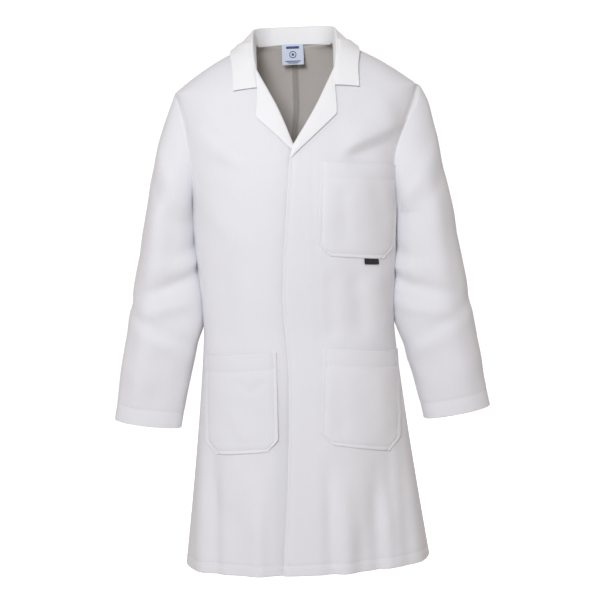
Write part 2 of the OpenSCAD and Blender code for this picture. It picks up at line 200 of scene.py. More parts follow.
FRONT_FOLDS = [
    ((0.222, -0.150), (0.078, -0.212), 0.036, 0.012, 0.0075),
    ((0.222, -0.188), (0.090, -0.228), 0.012, 0.026, -0.0046),
    ((0.196, -0.118), (0.100, -0.186), 0.026, 0.022, 0.0026),
    ((-0.200, -0.104), (-0.092, -0.214), 0.018, 0.030, 0.0034),
    ((-0.206, -0.150), (-0.068, -0.256), 0.012, 0.024, 0.0040),
    ((-0.176, -0.214), (-0.060, -0.262), 0.016, 0.020, -0.0030),
    ((-0.192, -0.262), (-0.120, -0.380), 0.016, 0.024, 0.0022),
    ((0.020, -0.204), (0.018, -0.236), 0.004, 0.005, -0.0016),
    ((0.112, -0.425), (0.124, -0.580), 0.016, 0.022, -0.0040),
    ((0.150, -0.415), (0.172, -0.600), 0.018, 0.026, 0.0045),
    ((0.066, -0.420), (0.060, -0.590), 0.014, 0.018, -0.0022),
    ((-0.150, -0.330), (-0.140, -0.590), 0.024, 0.030, -0.0024),
    ((-0.100, -0.300), (-0.092, -0.610), 0.022, 0.026, 0.0020),
    ((-0.060, -0.480), (-0.052, -0.640), 0.012, 0.014, -0.0016),
    ((-0.038, -0.640), (-0.062, -1.260), 0.007, 0.007, -0.0045),
    ((0.044, -0.770), (0.050, -1.250), 0.011, 0.016, -0.0081),
    ((0.074, -0.800), (0.080, -1.250), 0.018, 0.022, 0.0058),
    ((0.108, -0.900), (0.100, -1.200), 0.014, 0.018, -0.0061),
    ((0.140, -0.800), (0.146, -1.230), 0.013, 0.018, -0.0072),
    ((0.162, -0.830), (0.170, -1.250), 0.016, 0.020, 0.0075),
    ((0.166, -0.700), (0.172, -1.300), 0.014, 0.062, -0.0110),
    ((0.190, -0.700), (0.206, -1.240), 0.012, 0.018, -0.0060),
    ((0.216, -0.740), (0.232, -1.240), 0.014, 0.016, 0.0040),
    ((-0.060, -0.800), (-0.070, -1.240), 0.018, 0.022, -0.0058),
    ((-0.092, -0.830), (-0.098, -1.240), 0.018, 0.024, 0.0058),
    ((-0.140, -0.820), (-0.146, -1.240), 0.022, 0.026, -0.0052),
    ((-0.178, -0.740), (-0.190, -1.230), 0.010, 0.014, -0.0081),
    ((-0.204, -0.700), (-0.218, -1.240), 0.014, 0.018, 0.0070),
]
BACK_FOLDS = [
    ((0.120, -0.180), (0.112, -0.560), 0.026, 0.030, 0.0040),
    ((-0.124, -0.190), (-0.108, -0.540), 0.028, 0.026, 0.0038),
    ((0.060, -0.330), (0.052, -0.640), 0.020, 0.024, -0.0030),
    ((-0.056, -0.300), (-0.060, -0.620), 0.022, 0.020, -0.0030),
    ((0.190, -0.170), (0.090, -0.260), 0.020, 0.026, 0.0040),
    ((-0.192, -0.180), (-0.084, -0.282), 0.022, 0.024, 0.0040),
    ((0.080, -0.640), (0.094, -1.260), 0.024, 0.028, 0.0070),
    ((-0.086, -0.620), (-0.098, -1.260), 0.026, 0.026, 0.0070),
    ((0.142, -0.660), (0.164, -1.260), 0.020, 0.026, -0.0070),
    ((-0.146, -0.680), (-0.162, -1.260), 0.022, 0.024, -0.0066),
    ((0.196, -0.620), (0.222, -1.260), 0.018, 0.020, 0.0060),
    ((-0.194, -0.640), (-0.218, -1.260), 0.020, 0.020, 0.0060),
    ((0.040, -0.720), (0.046, -1.260), 0.014, 0.018, -0.0046),
    ((-0.040, -0.700), (-0.050, -1.260), 0.016, 0.016, -0.0044),
]


def fold(x, z, start, end, width_above, width_below, height):
    """One fold: full height along its middle, gone at its ends, with a different fall on either side."""
    dx, dz = end[0] - start[0], end[1] - start[1]
    length = math.hypot(dx, dz)
    along = ((x - start[0]) * dx + (z - start[1]) * dz) / length**2
    across = ((x - start[0]) * dz - (z - start[1]) * dx) / length * (1 if dx < 0 else -1)
    width = np.where(across > 0, width_above, width_below)
    taper = ramp(along, 0, 0.3) * ramp(1 - along, 0, 0.3)
    return height * np.exp(-((across / width) ** 2)) * taper


def crumple(x, z):
    """Slight unevenness of cotton cloth."""
    return 0.0004 * (
        np.sin(41 * x + 17 * z + 0.4) * np.cos(23 * z - 31 * x)
        + np.sin(67 * z + 29 * x + 1.3) * np.cos(53 * x + 2.1)
        + 0.6 * np.sin(97 * x - 61 * z) * np.sin(71 * z + 0.7)
    )


def relief(x, z, side):
    folds = FRONT_FOLDS if side == FRONT else BACK_FOLDS
    total = sum(fold(x, z, *f) for f in folds) + crumple(x, z)
    q = np.clip(np.abs(x) / half_w(z), 0, 1)
    calm = 1 - ramp(np.abs(x + 0.02), 0.075, 0.045) * (side == FRONT) * 0.75
    return total * calm * (1 - q**14)


def body_at(x, z, side, out=0.0, folds=1.0):
    """Points on the body's cloth, moved out along its normals."""
    x, z, out = np.broadcast_arrays(np.asarray(x, float), np.asarray(z, float), np.asarray(out, float))
    y = depth(x, z, side)
    normal = outward(x, y, z, side)
    p = np.stack([x, y, z], -1) + normal * (out + folds * relief(x, z, side))[..., None]
    p[..., 0] += lean(z)
    return p


# ---- Grids of cloth ----


def spaced(anchors, counts):
    """Places that pass through the anchors, with that many even steps between each two."""
    parts = [np.linspace(a, b, k, endpoint=False) for a, b, k in zip(anchors, anchors[1:], counts)]
    return np.concatenate([*parts, [anchors[-1]]])


def girth(z, side):
    """Signed distance round the body from the centre, as (x, distance) to look up."""
    turn = np.linspace(0, math.pi / 2, 700)
    x = half_w(z) * np.sin(turn)
    y = depth(x, z, side)
    return x, np.concatenate([[0], np.cumsum(np.hypot(np.diff(x), np.diff(y)))])


def row_x(z, side, inner, outer, count):
    """x of the columns in a row, from inner to outer: close together by its ends."""
    x, run = girth(z, side)
    a = math.copysign(float(np.interp(abs(inner), x, run)), inner)
    b = float(np.interp(outer, x, run))
    room = b - a
    shrink = min(1.0, room / NARROW_ROW)
    first = [a + d * shrink for d in EDGE_INSETS]
    last = [b - d * shrink for d in SEAM_INSETS]
    counts = [1] * (len(first) - 1) + [count] + [1] * (len(last) - 1)
    places = spaced([*first, *last], counts)
    return np.sign(places) * np.interp(np.abs(places), run, x)


def seam_height(x):
    """Height of the shoulder seam at x, or of the neck hole inside it."""
    share = np.clip((np.abs(x) - NECK_W) / (SHOULDER_W - NECK_W), 0, 1)
    nape = NAPE * (1 - np.clip(np.abs(x) / NECK_W, 0, 1) ** 2)
    return nape - SHOULDER_DROP * share ** (1 / SHOULDER_POWER)


def shoulder_rows(base_x, left_of, count):
    """Rows from the level UPPER to the shoulder seam and neck, spread evenly over the rounded shoulder."""
    share = (base_x - base_x[0]) / (base_x[-1] - base_x[0])
    top_left = left_of(np.array(0.0))
    top_x = top_left + share * (SHOULDER_W - top_left)
    top_z = seam_height(top_x)
    rows = []
    for t in np.linspace(0, 1, count + 1)[1:]:
        g = 1 - (1 - t) ** 2
        z = UPPER + (top_z - UPPER) * g
        left, right = left_of(z[0]), armhole_edge(z[-1])
        rows.append((left + share * (right - left), z))
    rows[-1] = (top_x, top_z)
    return rows


def make_mesh(name, verts, faces, uvs):
    mesh = bpy.data.meshes.new(name)
    mesh.from_pydata([tuple(map(float, v)) for v in verts], [], faces)
    layer = mesh.uv_layers.new(name="cloth")
    layer.data.foreach_set("uv", np.array([uvs[i] for f in faces for i in f], np.float32).ravel())
    mesh.polygons.foreach_set("use_smooth", [True] * len(mesh.polygons))
    made = bpy.data.objects.new(name, mesh)
    bpy.context.scene.collection.objects.link(made)
    return made


def grid_parts(points, ring=False, flip=False, uv_at=(0, 0)):
    """Vertices, faces and cloth coordinates in metres of a grid of points."""
    rows, cols = points.shape[:2]
    wide = np.linalg.norm(np.diff(points, axis=1), axis=-1)
    tall = np.linalg.norm(np.diff(points, axis=0), axis=-1)
    u = np.concatenate([np.zeros((rows, 1)), np.cumsum(wide, 1)], 1)
    v = np.concatenate([np.zeros((1, cols)), np.cumsum(tall, 0)], 0)
    uvs = np.stack([u + uv_at[0], v + uv_at[1]], -1).reshape(-1, 2)
    faces = []
    for r in range(rows - 1):
        for c in range(cols if ring else cols - 1):
            d = (c + 1) % cols
            quad = (r * cols + c, r * cols + d, (r + 1) * cols + d, (r + 1) * cols + c)
            faces.append(quad[::-1] if flip else quad)
    return points.reshape(-1, 3), faces, uvs


def join_grids(name, *grids):
    """One mesh of several grids, each (points, options), merged where their edges meet.

    Faces of doubled cloth get the mesh's second material, which on the fronts is lighter: partly the doubled
    cloth, partly painted highlight."""
    verts, faces, uvs, doubled = [], [], [], []
    for points, options in grids:
        options = dict(options)
        is_double = options.pop("doubled", False)
        v, f, t = grid_parts(points, **options)
        start = len(verts)
        verts.extend(v)
        uvs.extend(t)
        faces.extend(tuple(i + start for i in q) for q in f)
        doubled.extend([is_double] * len(f))
    made = make_mesh(name, verts, faces, uvs)
    if any(doubled):
        made.data.materials.append(None)
        made.data.materials.append(None)
        made.data.polygons.foreach_set("material_index", [int(d) for d in doubled])
    bm = bmesh.new()
    bm.from_mesh(made.data)
    bmesh.ops.remove_doubles(bm, verts=bm.verts, dist=2e-5)
    bmesh.ops.dissolve_degenerate(bm, edges=bm.edges, dist=1e-6)
    bm.to_mesh(made.data)
    bm.free()
    return made


def apply_modifiers(obj):
    """Puts the object's modifiers into its mesh."""
    dg = bpy.context.evaluated_depsgraph_get()
    final = bpy.data.meshes.new_from_object(obj.evaluated_get(dg), depsgraph=dg)
    obj.modifiers.clear()
    old = obj.data
    obj.data = final
    bpy.data.meshes.remove(old)


def thicken(obj, thickness=CLOTH, rounded=True, wrong_side=False):
    """Gives a sheet its thickness, with a soft edge all round."""
    solid = obj.modifiers.new("thickness", "SOLIDIFY")
    solid.thickness = thickness
    solid.offset = 0
    # the inner faces take a second material: on the back halves, a darker painted shade
    if wrong_side:
        obj.data.materials.append(None)
        obj.data.materials.append(None)
        solid.material_offset = 1
    if rounded:
        bevel = obj.modifiers.new("edge", "BEVEL")
        bevel.width = thickness * 0.38
        bevel.segments = 2
        bevel.limit_method = "ANGLE"
        bevel.angle_limit = math.radians(60)
    apply_modifiers(obj)
    return obj


# ---- Camera ----

CAMERA_AT = (0, -3.0, -0.188)
CAMERA_TILT = 6
CAMERA_ROLL = -2.2
LENS, SENSOR = 90.5, 36
CENTRE_SHIFT = 0.0033


def make_camera():
    data = bpy.data.cameras.new("camera")
    data.lens, data.sensor_width = LENS, SENSOR
    data.shift_x = CENTRE_SHIFT
    camera = bpy.data.objects.new("camera", data)
    camera.location = CAMERA_AT
    look = Matrix.Rotation(math.radians(90 - CAMERA_TILT), 4, "X")
    camera.rotation_euler = (look @ Matrix.Rotation(math.radians(CAMERA_ROLL), 4, "Z")).to_euler()
    bpy.context.scene.collection.objects.link(camera)
    bpy.context.scene.camera = camera


make_camera()


# ---- Stitches ----

STITCH_PITCH, STITCH_LEN, STITCH_R = 0.0034, 0.0024, 0.00028
STITCH_OFF = 0.0005


def normals_of(points, hand_flip):
    """Unit normals of a grid of points."""
    du = np.gradient(points, axis=1)
    dv = np.gradient(points, axis=0)
    n = np.cross(du, dv) * (-1 if hand_flip else 1)
    return n / np.maximum(np.linalg.norm(n, axis=-1, keepdims=True), 1e-12)


def stitches(name, *lines):
    """A row of small thread stitches along each line, given as (points, normals, how far off the points)."""
    verts, faces, uvs = [], [], []
    for points, normals, off in lines:
        points = np.asarray(points) + np.asarray(normals) * off
        run = np.concatenate([[0], np.cumsum(np.linalg.norm(np.diff(points, axis=0), axis=1))])
        count = int((run[-1] - STITCH_LEN) / STITCH_PITCH)
        for i in range(count):
            middle = (i + 0.5) * run[-1] / count
            spine = []
            for share, wide in ((-0.5, 0.25), (-0.3, 1.0), (0.3, 1.0), (0.5, 0.25)):
                at = middle + share * STITCH_LEN
                p = np.array([np.interp(at, run, points[:, k]) for k in range(3)])
                spine.append((p, wide))
            n = np.array([np.interp(middle, run, normals[:, k]) for k in range(3)])
            along = spine[-1][0] - spine[0][0]
            along = along / max(np.linalg.norm(along), 1e-9)
            across = np.cross(along, n)
            start = len(verts)
            for j, (p, wide) in enumerate(spine):
                sink = 0.0 if 0 < j < 3 else -1.3 * STITCH_R
                for a, b in ((1, 0), (0, 1), (-1, 0), (0, -1)):
                    verts.append(p + (across * a * wide + n * b * wide) * STITCH_R + n * sink)
                    uvs.append((j * 0.0008, 0.0))
            for j in range(3):
                for k in range(4):
                    m = (k + 1) % 4
                    faces.append(tuple(start + 4 * j + i for i in (k, m, 4 + m, 4 + k)))
            faces.append((start + 3, start + 2, start + 1, start))
            faces.append((start + 12, start + 13, start + 14, start + 15))
    return make_mesh(name, verts, faces, uvs)


def grid_line(points, normals, row=None, col=None, keep=slice(None), off=STITCH_OFF):
    """A line for stitches() along one row or column of a grid."""
    at = (row, keep) if row is not None else (keep, col)
    return points[at], normals[at], off


# ---- Panels of the body ----

EDGE_INSETS = (0, 0.0012, 0.0045, 0.0060, 0.0075, 0.0120)
SEAM_INSETS = (0.0140, 0.0078, 0.0062, 0.0046, 0.0016, 0)
NARROW_ROW = 0.06
EDGE_STITCH, SEAM_STITCH = 3, -4
HEM_LINE = HEM + HEM_BAND
LOWER_ROWS = spaced(
    (HEM, HEM + 0.0015, HEM_LINE - 0.0016, HEM_LINE, HEM_LINE + 0.0016, HEM_LINE + 0.006, VENT_TOP,
     ARMPIT - 0.018, ARMPIT, ARMPIT + 0.0006, ARMPIT + 0.003, ARMPIT + 0.011, LAPEL_FOOT, V_FOOT, UPPER),
    (1, 3, 1, 1, 1, 52, 58, 4, 1, 1, 3, 12, 8, 20),
)
HEM_STITCH_ROW = 3
ARMHOLE_ROWS = slice(int(np.argmax(LOWER_ROWS >= ARMPIT)), None)
UPPER_ROWS = 16
TURN_STEPS = 6


def seam_dip(distance, depth_in=0.0007, width=0.0017):
    """Cloth drawn in along a line of stitches."""
    return -depth_in * np.exp(-((distance / width) ** 2))


def panel_rows(inner_of, side, count):
    """x and z of a panel's rows, from the hem to the shoulder seam, on the wearer's left."""
    xs, zs = [], []
    for z in LOWER_ROWS:
        row = row_x(z, side, float(inner_of(z)), float(armhole_edge(z)), count)
        xs.append(row)
        zs.append(np.full(len(row), z))
    for x, z in shoulder_rows(xs[-1], inner_of, UPPER_ROWS):
        xs.append(x)
        zs.append(z)
    return np.array(xs), np.array(zs)


def inset_runs(xs, zs, side):
    """Distance of every point of a panel from its inner and its outer edge, along its row."""
    p = np.stack([xs, depth(xs, zs, side), zs], -1)
    step = np.linalg.norm(np.diff(p, axis=1), axis=-1)
    run = np.concatenate([np.zeros((len(xs), 1)), np.cumsum(step, 1)], 1)
    return run, run[:, -1:] - run


def hem_grid(xs, side, hand, sunk=0.0):
    """The hem's turned-up band behind a panel's lowest row."""
    rows = []
    for z, out in ((HEM, 0.0), (HEM - 0.0007, -0.0006), (HEM - 0.0007, -0.0013), (HEM, -0.0019),
                   (HEM + 0.010, -0.0020), (HEM_LINE, -0.0020)):
        rows.append(body_at(hand * xs, np.full(len(xs), z), side, out - sunk))
    return np.array(rows)


OVERLAP = 0.046
# How deep the right front lies, by how far it is past the left front's edge: buttoned, and loose below
SINK = [(-0.30, 0.0), (-0.024, 0.0), (-0.010, 0.0016), (0, 0.0042), (0.006, 0.0070), (0.013, 0.0104),
        (0.021, 0.0128), (0.030, 0.0130), (0.30, 0.0130)]
LOOSE_SINK = [(-0.30, 0.0), (-0.044, 0.0), (-0.020, 0.0036), (-0.006, 0.0080), (0.004, 0.0105),
              (0.021, 0.0128), (0.30, 0.0130)]
ROLL_SLOPE = 0.077 / 0.149
RIGHT_FOOT = -0.205


def sunk(x, z):
    """How far the wearer's right front lies behind the left one's face, with x towards the wearer's right."""
    past = -over_edge(z) - x

    def softened(points):
        return sum(straight_steps(points, past + d) for d in (-0.004, -0.002, 0, 0.002, 0.004)) / 5

    return mix(softened(SINK), softened(LOOSE_SINK), ramp(-z, 0.58, 0.80))


def left_edge(z):
    return np.where(z > V_FOOT, straight_steps(ROLL, z), over_edge(z))


def right_edge(z):
    under = np.maximum(-over_edge(z) - OVERLAP, -0.002 + (z - V_FOOT) * ROLL_SLOPE)
    return np.where(z > V_FOOT, straight_steps(ROLL, z), under)


def lapel_outer(z, hand):
    foot = (LAPEL_FOOT, -0.007) if hand == LEFT else (RIGHT_FOOT, 0.0)
    return straight_steps([foot, (-0.139, 0.077), (-0.082, 0.074), (-0.040, 0.080), (0.0, 0.086)], z)


def turn_radius(z, hand):
    """Radius of the fold at the front edge and along the lapel's roll."""
    foot = LAPEL_FOOT if hand == LEFT else RIGHT_FOOT
    full = 0.0011 if hand == LEFT else 0.0018
    below = mix(full, 0.0004, ramp(z, foot - 0.020, foot))
    wide = np.clip(lapel_outer(z, hand) - left_edge(z), 0, None)
    above = np.clip(0.0004 + 0.16 * wide, 0, 0.0024)
    return np.where(z > foot, above, below)


def panel_lines(panel, flip, edge_rows=slice(None)):
    """Lines for stitches() along a panel's edge, its hem and its armhole."""
    normals = normals_of(panel, flip)
    return [
        grid_line(panel, normals, col=EDGE_STITCH, keep=edge_rows),
        grid_line(panel, normals, row=HEM_STITCH_ROW),
        grid_line(panel, normals, col=SEAM_STITCH, keep=ARMHOLE_ROWS),
    ]


def front(hand):
    """One front in one piece: its panel, the facing turned in behind its edge and its folded-back lapel."""
    left = hand == LEFT
    edge = left_edge if left else right_edge
    foot = LAPEL_FOOT if left else RIGHT_FOOT

    def inner(z):
        return edge(z) + turn_radius(z, hand)

    xs, zs = panel_rows(inner, FRONT, 44)
    run_in, run_out = inset_runs(xs, zs, FRONT)
    below_v = zs < V_FOOT + 0.004
    dips = seam_dip(run_in - 0.006) * below_v + seam_dip(run_out - 0.0062) + seam_dip(zs - HEM_LINE)
    if left:
        dips = dips + seam_dip(xs - FLY_X, 0.0006, 0.003) * below_v
    base = np.zeros_like(xs) if left else -sunk(xs, zs)
    panel = body_at(hand * xs, zs, FRONT, base + dips)

    inner_x, inner_z = xs[:, 0], zs[:, 0]
    radius = turn_radius(inner_z, hand)
    turn = np.linspace(0, math.pi, TURN_STEPS + 1)

    def turned(rows, way, far_x, far_count, far_off):
        """Cloth turned over at the edge along those rows, outwards or inwards, and on to far_x."""
        x = inner_x[rows, None] - radius[rows, None] * np.sin(turn)
        off = way * radius[rows, None] * (1 - np.cos(turn))
        share = np.linspace(0, 1, far_count + 1)[1:]
        beyond = mix(inner_x[rows, None], far_x(inner_z[rows])[:, None], share)
        height = far_off(share, 2 * radius[rows, None])
        x = np.concatenate([x, beyond], 1)
        off = np.concatenate([off, way * height], 1)
        z = np.broadcast_to(inner_z[rows, None], x.shape)
        ground = 0.0 if left else -sunk(x, z)
        fade = np.concatenate([np.cos(turn / 2), np.zeros(far_count)])
        return body_at(hand * x, z, FRONT, ground + off + dips[rows, :1] * fade)

    facing_rows = np.nonzero(inner_z <= foot + 1e-6)[0]
    lapel_rows = np.nonzero(inner_z >= foot - 1e-6)[0]

    def facing_end(z):
        return FACING_END + (0 * z if left else -over_edge(z))

    facing = turned(facing_rows, -1, facing_end, 12, lambda s, h: h + 0.0004 * s)

    def lapel_end(z):
        return np.maximum(lapel_outer(z, hand), inner(z) + 2e-4)

    def lapel_height(s, h):
        lying = mix(h, np.minimum(h * 0.9, 0.0042), ease(s * 1.15))
        return lying + 0.0010 * np.sin(math.pi * s) * (h > 0.002)

    lapel = turned(lapel_rows, 1, lapel_end, 18, lapel_height)
    flip = not left
    hem = hem_grid(xs[0], FRONT, hand, 0.0 if left else sunk(xs[0], zs[0]))
    piece = join_grids(
        "left_front" if left else "right_front",
        (panel, {"flip": flip}),
        (facing, {"flip": not flip, "uv_at": (-0.2, 0)}),
        # the lapel takes the lighter cloth, partly painted highlight
        (lapel, {"flip": not flip, "uv_at": (-0.4, 0.8), "doubled": True}),
        (hem, {"flip": not flip, "uv_at": (0.4, 0)}),
    )
    thicken(piece)

    lines = panel_lines(panel, flip, slice(0, len(facing_rows)))
    if left:
        z = np.linspace(FLY_LOW, V_FOOT - 0.012, 120)
        x = np.full(len(z), FLY_X)
        lines.append((body_at(x, z, FRONT), outward(x, depth(x, z, FRONT), z, FRONT), -0.0001))
    lines.append(grid_line(lapel, normals_of(lapel, not flip), col=-3, keep=slice(2, len(lapel) - 10)))
    return piece, stitches(piece.name + "_stitching", *lines)


def back(hand):
    """One half of the back, from the centre seam to the side seam and the armhole."""
    xs, zs = panel_rows(lambda z: 0.0, BACK, 30)
    run_in, run_out = inset_runs(xs, zs, BACK)
    dips = seam_dip(run_in, 0.0010, 0.0022) + seam_dip(run_in - 0.006)
    dips = dips + seam_dip(run_out - 0.0062) + seam_dip(zs - HEM_LINE)
    panel = body_at(hand * xs, zs, BACK, dips)
    flip = hand == LEFT
    piece = join_grids(
        "left_back" if hand == LEFT else "right_back",
        (panel, {"flip": flip}),
        (hem_grid(xs[0], BACK, hand), {"flip": not flip, "uv_at": (0.4, 0)}),
    )
    # its inside faces take the darker painted shade of the coat's inside
    thicken(piece, wrong_side=True)
    return piece, stitches(piece.name + "_stitching", *panel_lines(panel, flip))


# ---- Sleeves ----

HEAD_SHARE = 0.36
SLEEVE_REST = 0.009
SLEEVE_FOLDS = [
    # along, turn in degrees (0 outside, 90 front, 180 inside), slant, width along, width round, height
    (0.455, 150, -0.28, 0.022, 46, -0.0042),
    (0.50, 158, -0.30, 0.020, 44, 0.0040),
    (0.545, 140, -0.32, 0.024, 56, -0.0040),
    (0.20, 60, 0.30, 0.040, 60, 0.0030),
    (0.27, 40, 0.34, 0.030, 50, -0.0020),
    (0.52, 85, -0.22, 0.030, 60, 0.0026),
    (0.595, 80, -0.26, 0.022, 76, -0.0042),
    (0.645, 105, -0.24, 0.022, 66, 0.0042),
    (0.70, 70, 0.26, 0.026, 66, -0.0036),
    (0.76, 115, 0.22, 0.028, 56, 0.0030),
    (0.56, 250, 0.25, 0.028, 76, -0.0044),
    (0.63, 280, 0.22, 0.026, 76, 0.0044),
    (0.72, 230, -0.20, 0.030, 70, -0.0036),
    (0.42, 265, 0.25, 0.034, 66, -0.0040),
    (0.86, 60, 0.15, 0.040, 50, 0.0022),
]


# The sleeve as a plain tube, at its top, halfway and at the cuff: x of its middle, half width, half depth
TUBE_X, TUBE_W, TUBE_D = (0.253, 0.269, 0.3095), (0.049, 0.072, 0.0665), (0.074, 0.058, 0.042)
TUBE_TOP, TUBE_END, TUBE_FORWARD = -0.330, -0.737, 0.015
SLEEVE_SIDES = 72
# Turn in degrees at which the sleeve's seam is, and the stitches beside it
SEAM_TURN, SEAM_STITCH_TURN = 188, 194


def sleeve_tube(k, f, v):
    low = v < 0.5
    step = np.where(low, v * 2, v * 2 - 1)

    def between(values, t):
        return np.where(low, mix(values[0], values[1], t), mix(values[1], values[2], t))

    x, hw, hd = between(TUBE_X, step), between(TUBE_W, ease(step)), between(TUBE_D, ease(step))
    y, z = -TUBE_FORWARD * v, mix(TUBE_TOP, TUBE_END, v)
    # the inside of the arm rests against the body down to the waist
    rest = SLEEVE_REST * (1 - ramp(v, 0.42, 0.74)) * np.clip(-k, 0, 1)
    return np.stack([x + hw * k - rest, y - hd * f, z + 0.16 * hw * k], -1)


def armhole_point(k, f, hand, inboard=0.0, out=0.0):
    z = ARMHOLE + ARMHOLE_HALF * k
    side = np.where(f >= 0, FRONT, BACK)
    x = armhole_edge(z) - inboard * np.abs(f)
    points = np.empty(k.shape + (3,))
    for s in (FRONT, BACK):
        on = side == s
        points[on] = body_at(hand * x[on], z[on], s, out)
    points[..., 0] *= hand
    return points


def sleeve_surface(turn, along, hand):
    """Points on a sleeve, with x away from the body's centre: turn 0 is outside, 90 degrees the front."""
    k, f = np.cos(turn), np.sin(turn)
    hole = armhole_point(k, f, hand)
    u = np.clip(along / HEAD_SHARE, 0, 1)[..., None]
    arm = sleeve_tube(k, f, np.zeros_like(k))
    rise = np.stack([np.clip(k, 0, None), -0.8 * f, 0.5 * np.clip(k, 0, None)], -1)
    crown = 0.0016 * np.exp(-((along / 0.035) ** 2)) * np.clip(k + 0.4, 0, 1) * ramp(along, 0, 0.008)
    ones = np.ones_like(k)
    head = mix(hole, arm, u) + 0.011 * np.sin(math.pi * u) * rise
    head = head + crown[..., None] * np.stack([0.8 * ones, -0.5 * f, 0.8 * ones], -1)
    below = sleeve_tube(k, f, np.clip((along - HEAD_SHARE) / (1 - HEAD_SHARE), 0, 1))
    return np.where((along < HEAD_SHARE)[..., None], head, below)


def degrees_from(turn, middle):
    """Signed degrees round a sleeve from a place on it."""
    return (np.degrees(turn) - middle + 180) % 360 - 180


def sleeve_relief(turn, along, hand):
    total = 0.0007 * np.sin(9 * along + 3 * turn + hand) * np.sin(5 * turn - 14 * along)
    total = total + 0.0005 * np.sin(31 * along + 2 * turn) * np.sin(3 * turn + 23 * along + hand)
    for at, middle, slant, width, spread_deg, height in SLEEVE_FOLDS:
        round_by = degrees_from(turn, middle + 8 * hand)
        shift = along - at - 0.012 * hand - slant * round_by / 360
        total = total + height * np.exp(-((shift / width) ** 2) - (round_by / spread_deg) ** 2)
    # the soft ridge down the front of the sleeve, and the hollow beside it
    for middle, wide, height in ((66, 16, 0.0030), (104, 14, -0.0024), (150, 14, 0.0016)):
        beside = degrees_from(turn, middle) / wide
        total = total + height * np.exp(-(beside**2)) * ramp(along, 0.12, 0.40)
    inside = np.clip(-np.cos(turn), 0, 1)
    rise = ramp(along, 0.30 * inside, 0.06 + 0.42 * inside)
    return total * rise * mix(0.35, 1, ramp(1 - along, 0.0, 0.10))


# How far each sleeve's outer side stands out from a plain tube, by height
SLEEVE_OUTLINE = {
    LEFT: [(-0.700, 0.0), (-0.640, 0.001), (-0.480, 0.003), (-0.380, 0.010), (-0.340, 0.013), (-0.300, 0.009),
           (-0.250, 0.002), (-0.175, 0.002), (-0.120, 0.008), (-0.085, 0.003), (-0.060, 0.0)],
    RIGHT: [(-0.700, 0.0), (-0.640, -0.001), (-0.560, -0.004), (-0.450, -0.007), (-0.395, -0.0045),
            (-0.360, -0.0035), (-0.312, -0.007), (-0.285, -0.0085), (-0.240, -0.007), (-0.190, -0.0075),
            (-0.140, -0.0045), (-0.090, -0.002), (-0.045, 0.0)],
}
CUFF_BAND = 0.030
SLEEVE_LENGTH = 0.62
# How far inward and how far past the edge each row of the cuff's turning lies
CUFF_TURN = [(0.0007, 0.0006), (0.0014, 0.0006), (0.0020, 0.0), (0.0022, -0.012), (0.0022, -0.030)]
SLEEVE_STITCH_OFF = 0.0006


def sleeve(hand):
    """One sleeve, from where it is tucked into the armhole to the band turned up inside its cuff."""
    turn = np.linspace(0, 2 * math.pi, SLEEVE_SIDES, endpoint=False)
    band = 1 - CUFF_BAND / SLEEVE_LENGTH
    places = spaced((0, 0.003, 0.010, 0.05, HEAD_SHARE, band - 0.003, band, band + 0.003, 0.998, 1),
                    (1, 2, 6, 34, 58, 1, 1, 1, 4, 1))
    t, a = np.meshgrid(turn, places)
    points = sleeve_surface(t, a, hand)
    around = np.roll(points, -1, axis=1) - np.roll(points, 1, axis=1)
    down = np.gradient(points, axis=0)
    normal = np.cross(around, down)
    normal /= np.maximum(np.linalg.norm(normal, axis=-1, keepdims=True), 1e-12)
    centre = points.mean(axis=1, keepdims=True)
    normal *= np.sign(np.sum(normal * (points - centre), -1, keepdims=True) + 1e-12)
    dip = seam_dip((a - band) * SLEEVE_LENGTH, 0.0008, 0.0020)
    seam = seam_dip(degrees_from(t, SEAM_TURN) * 0.0011, 0.0012, 0.0022)
    points = points + normal * (sleeve_relief(t, a, hand) + dip + seam)[..., None]
    points[..., 0] += smooth_steps(SLEEVE_OUTLINE[hand], points[..., 2]) * np.clip(np.cos(t), 0, 1)
    tucked = [armhole_point(np.cos(turn), np.sin(turn), hand, inboard, out)
              for inboard, out in ((0.008, -0.0024), (0.002, -0.0018))]
    # the cuff's turned-up band inside
    last, inward = points[-1], -normal[-1]
    up = points[-8] - points[-1]
    up /= np.linalg.norm(up, axis=-1, keepdims=True)
    cuff = [last + inward * i - up * d for i, d in CUFF_TURN]
    grid = np.concatenate([tucked, points, cuff])
    grid[..., 0] *= hand
    mesh_name = "left_arm_sleeve" if hand == LEFT else "right_arm_sleeve"
    flip = hand == LEFT
    piece = join_grids(mesh_name, (grid, {"ring": True, "flip": flip}))
    thicken(piece)
    out = normal.copy()
    out[..., 0] *= hand
    stitched = points.copy()
    stitched[..., 0] *= hand
    row = int(np.argmin(np.abs(places - band)))
    ring = [np.concatenate([grid[row], grid[row][:1]]) for grid in (stitched, out)]
    seam_col = round(SEAM_STITCH_TURN / 360 * SLEEVE_SIDES)
    lines = [
        (*ring, SLEEVE_STITCH_OFF),
        grid_line(stitched, out, col=seam_col, keep=slice(8, None), off=SLEEVE_STITCH_OFF),
    ]
    return piece, stitches(mesh_name + "_stitching", *lines)


# ---- Collar ----

# Lines along the collar in millimetres, from the centre back to its front end: the neck seam, the fold,
# the middle of the leaf and the leaf's edge
COLLAR_LINES = [
    [(0, 58, 5), (46, 52, 3), (69, 26, 0), (75, -6, 0), (75, -40, -24), (74, -64, -52), (73, -80, -80)],
    [(0, 66, 38), (48, 61, 38), (75, 32, 34), (80, -10, 19), (80, -46, -14), (77, -70, -47), (74, -86, -82)],
    [(0, 80, 6), (58, 75, 8), (94, 36, 13), (104, -4, 5), (103, -44, -26), (98, -66, -56), (97, -84, -84)],
    [(0, 82, -34), (64, 76, -31), (110, 42, -17), (121, 0, -10), (121, -34, -36), (121, -56, -62),
     (121, -70, -87)],
]
LEAF_OFF = 0.0056
COLLAR_CLOTH = 0.0015
COLLAR_STITCH_OFF = 0.0009


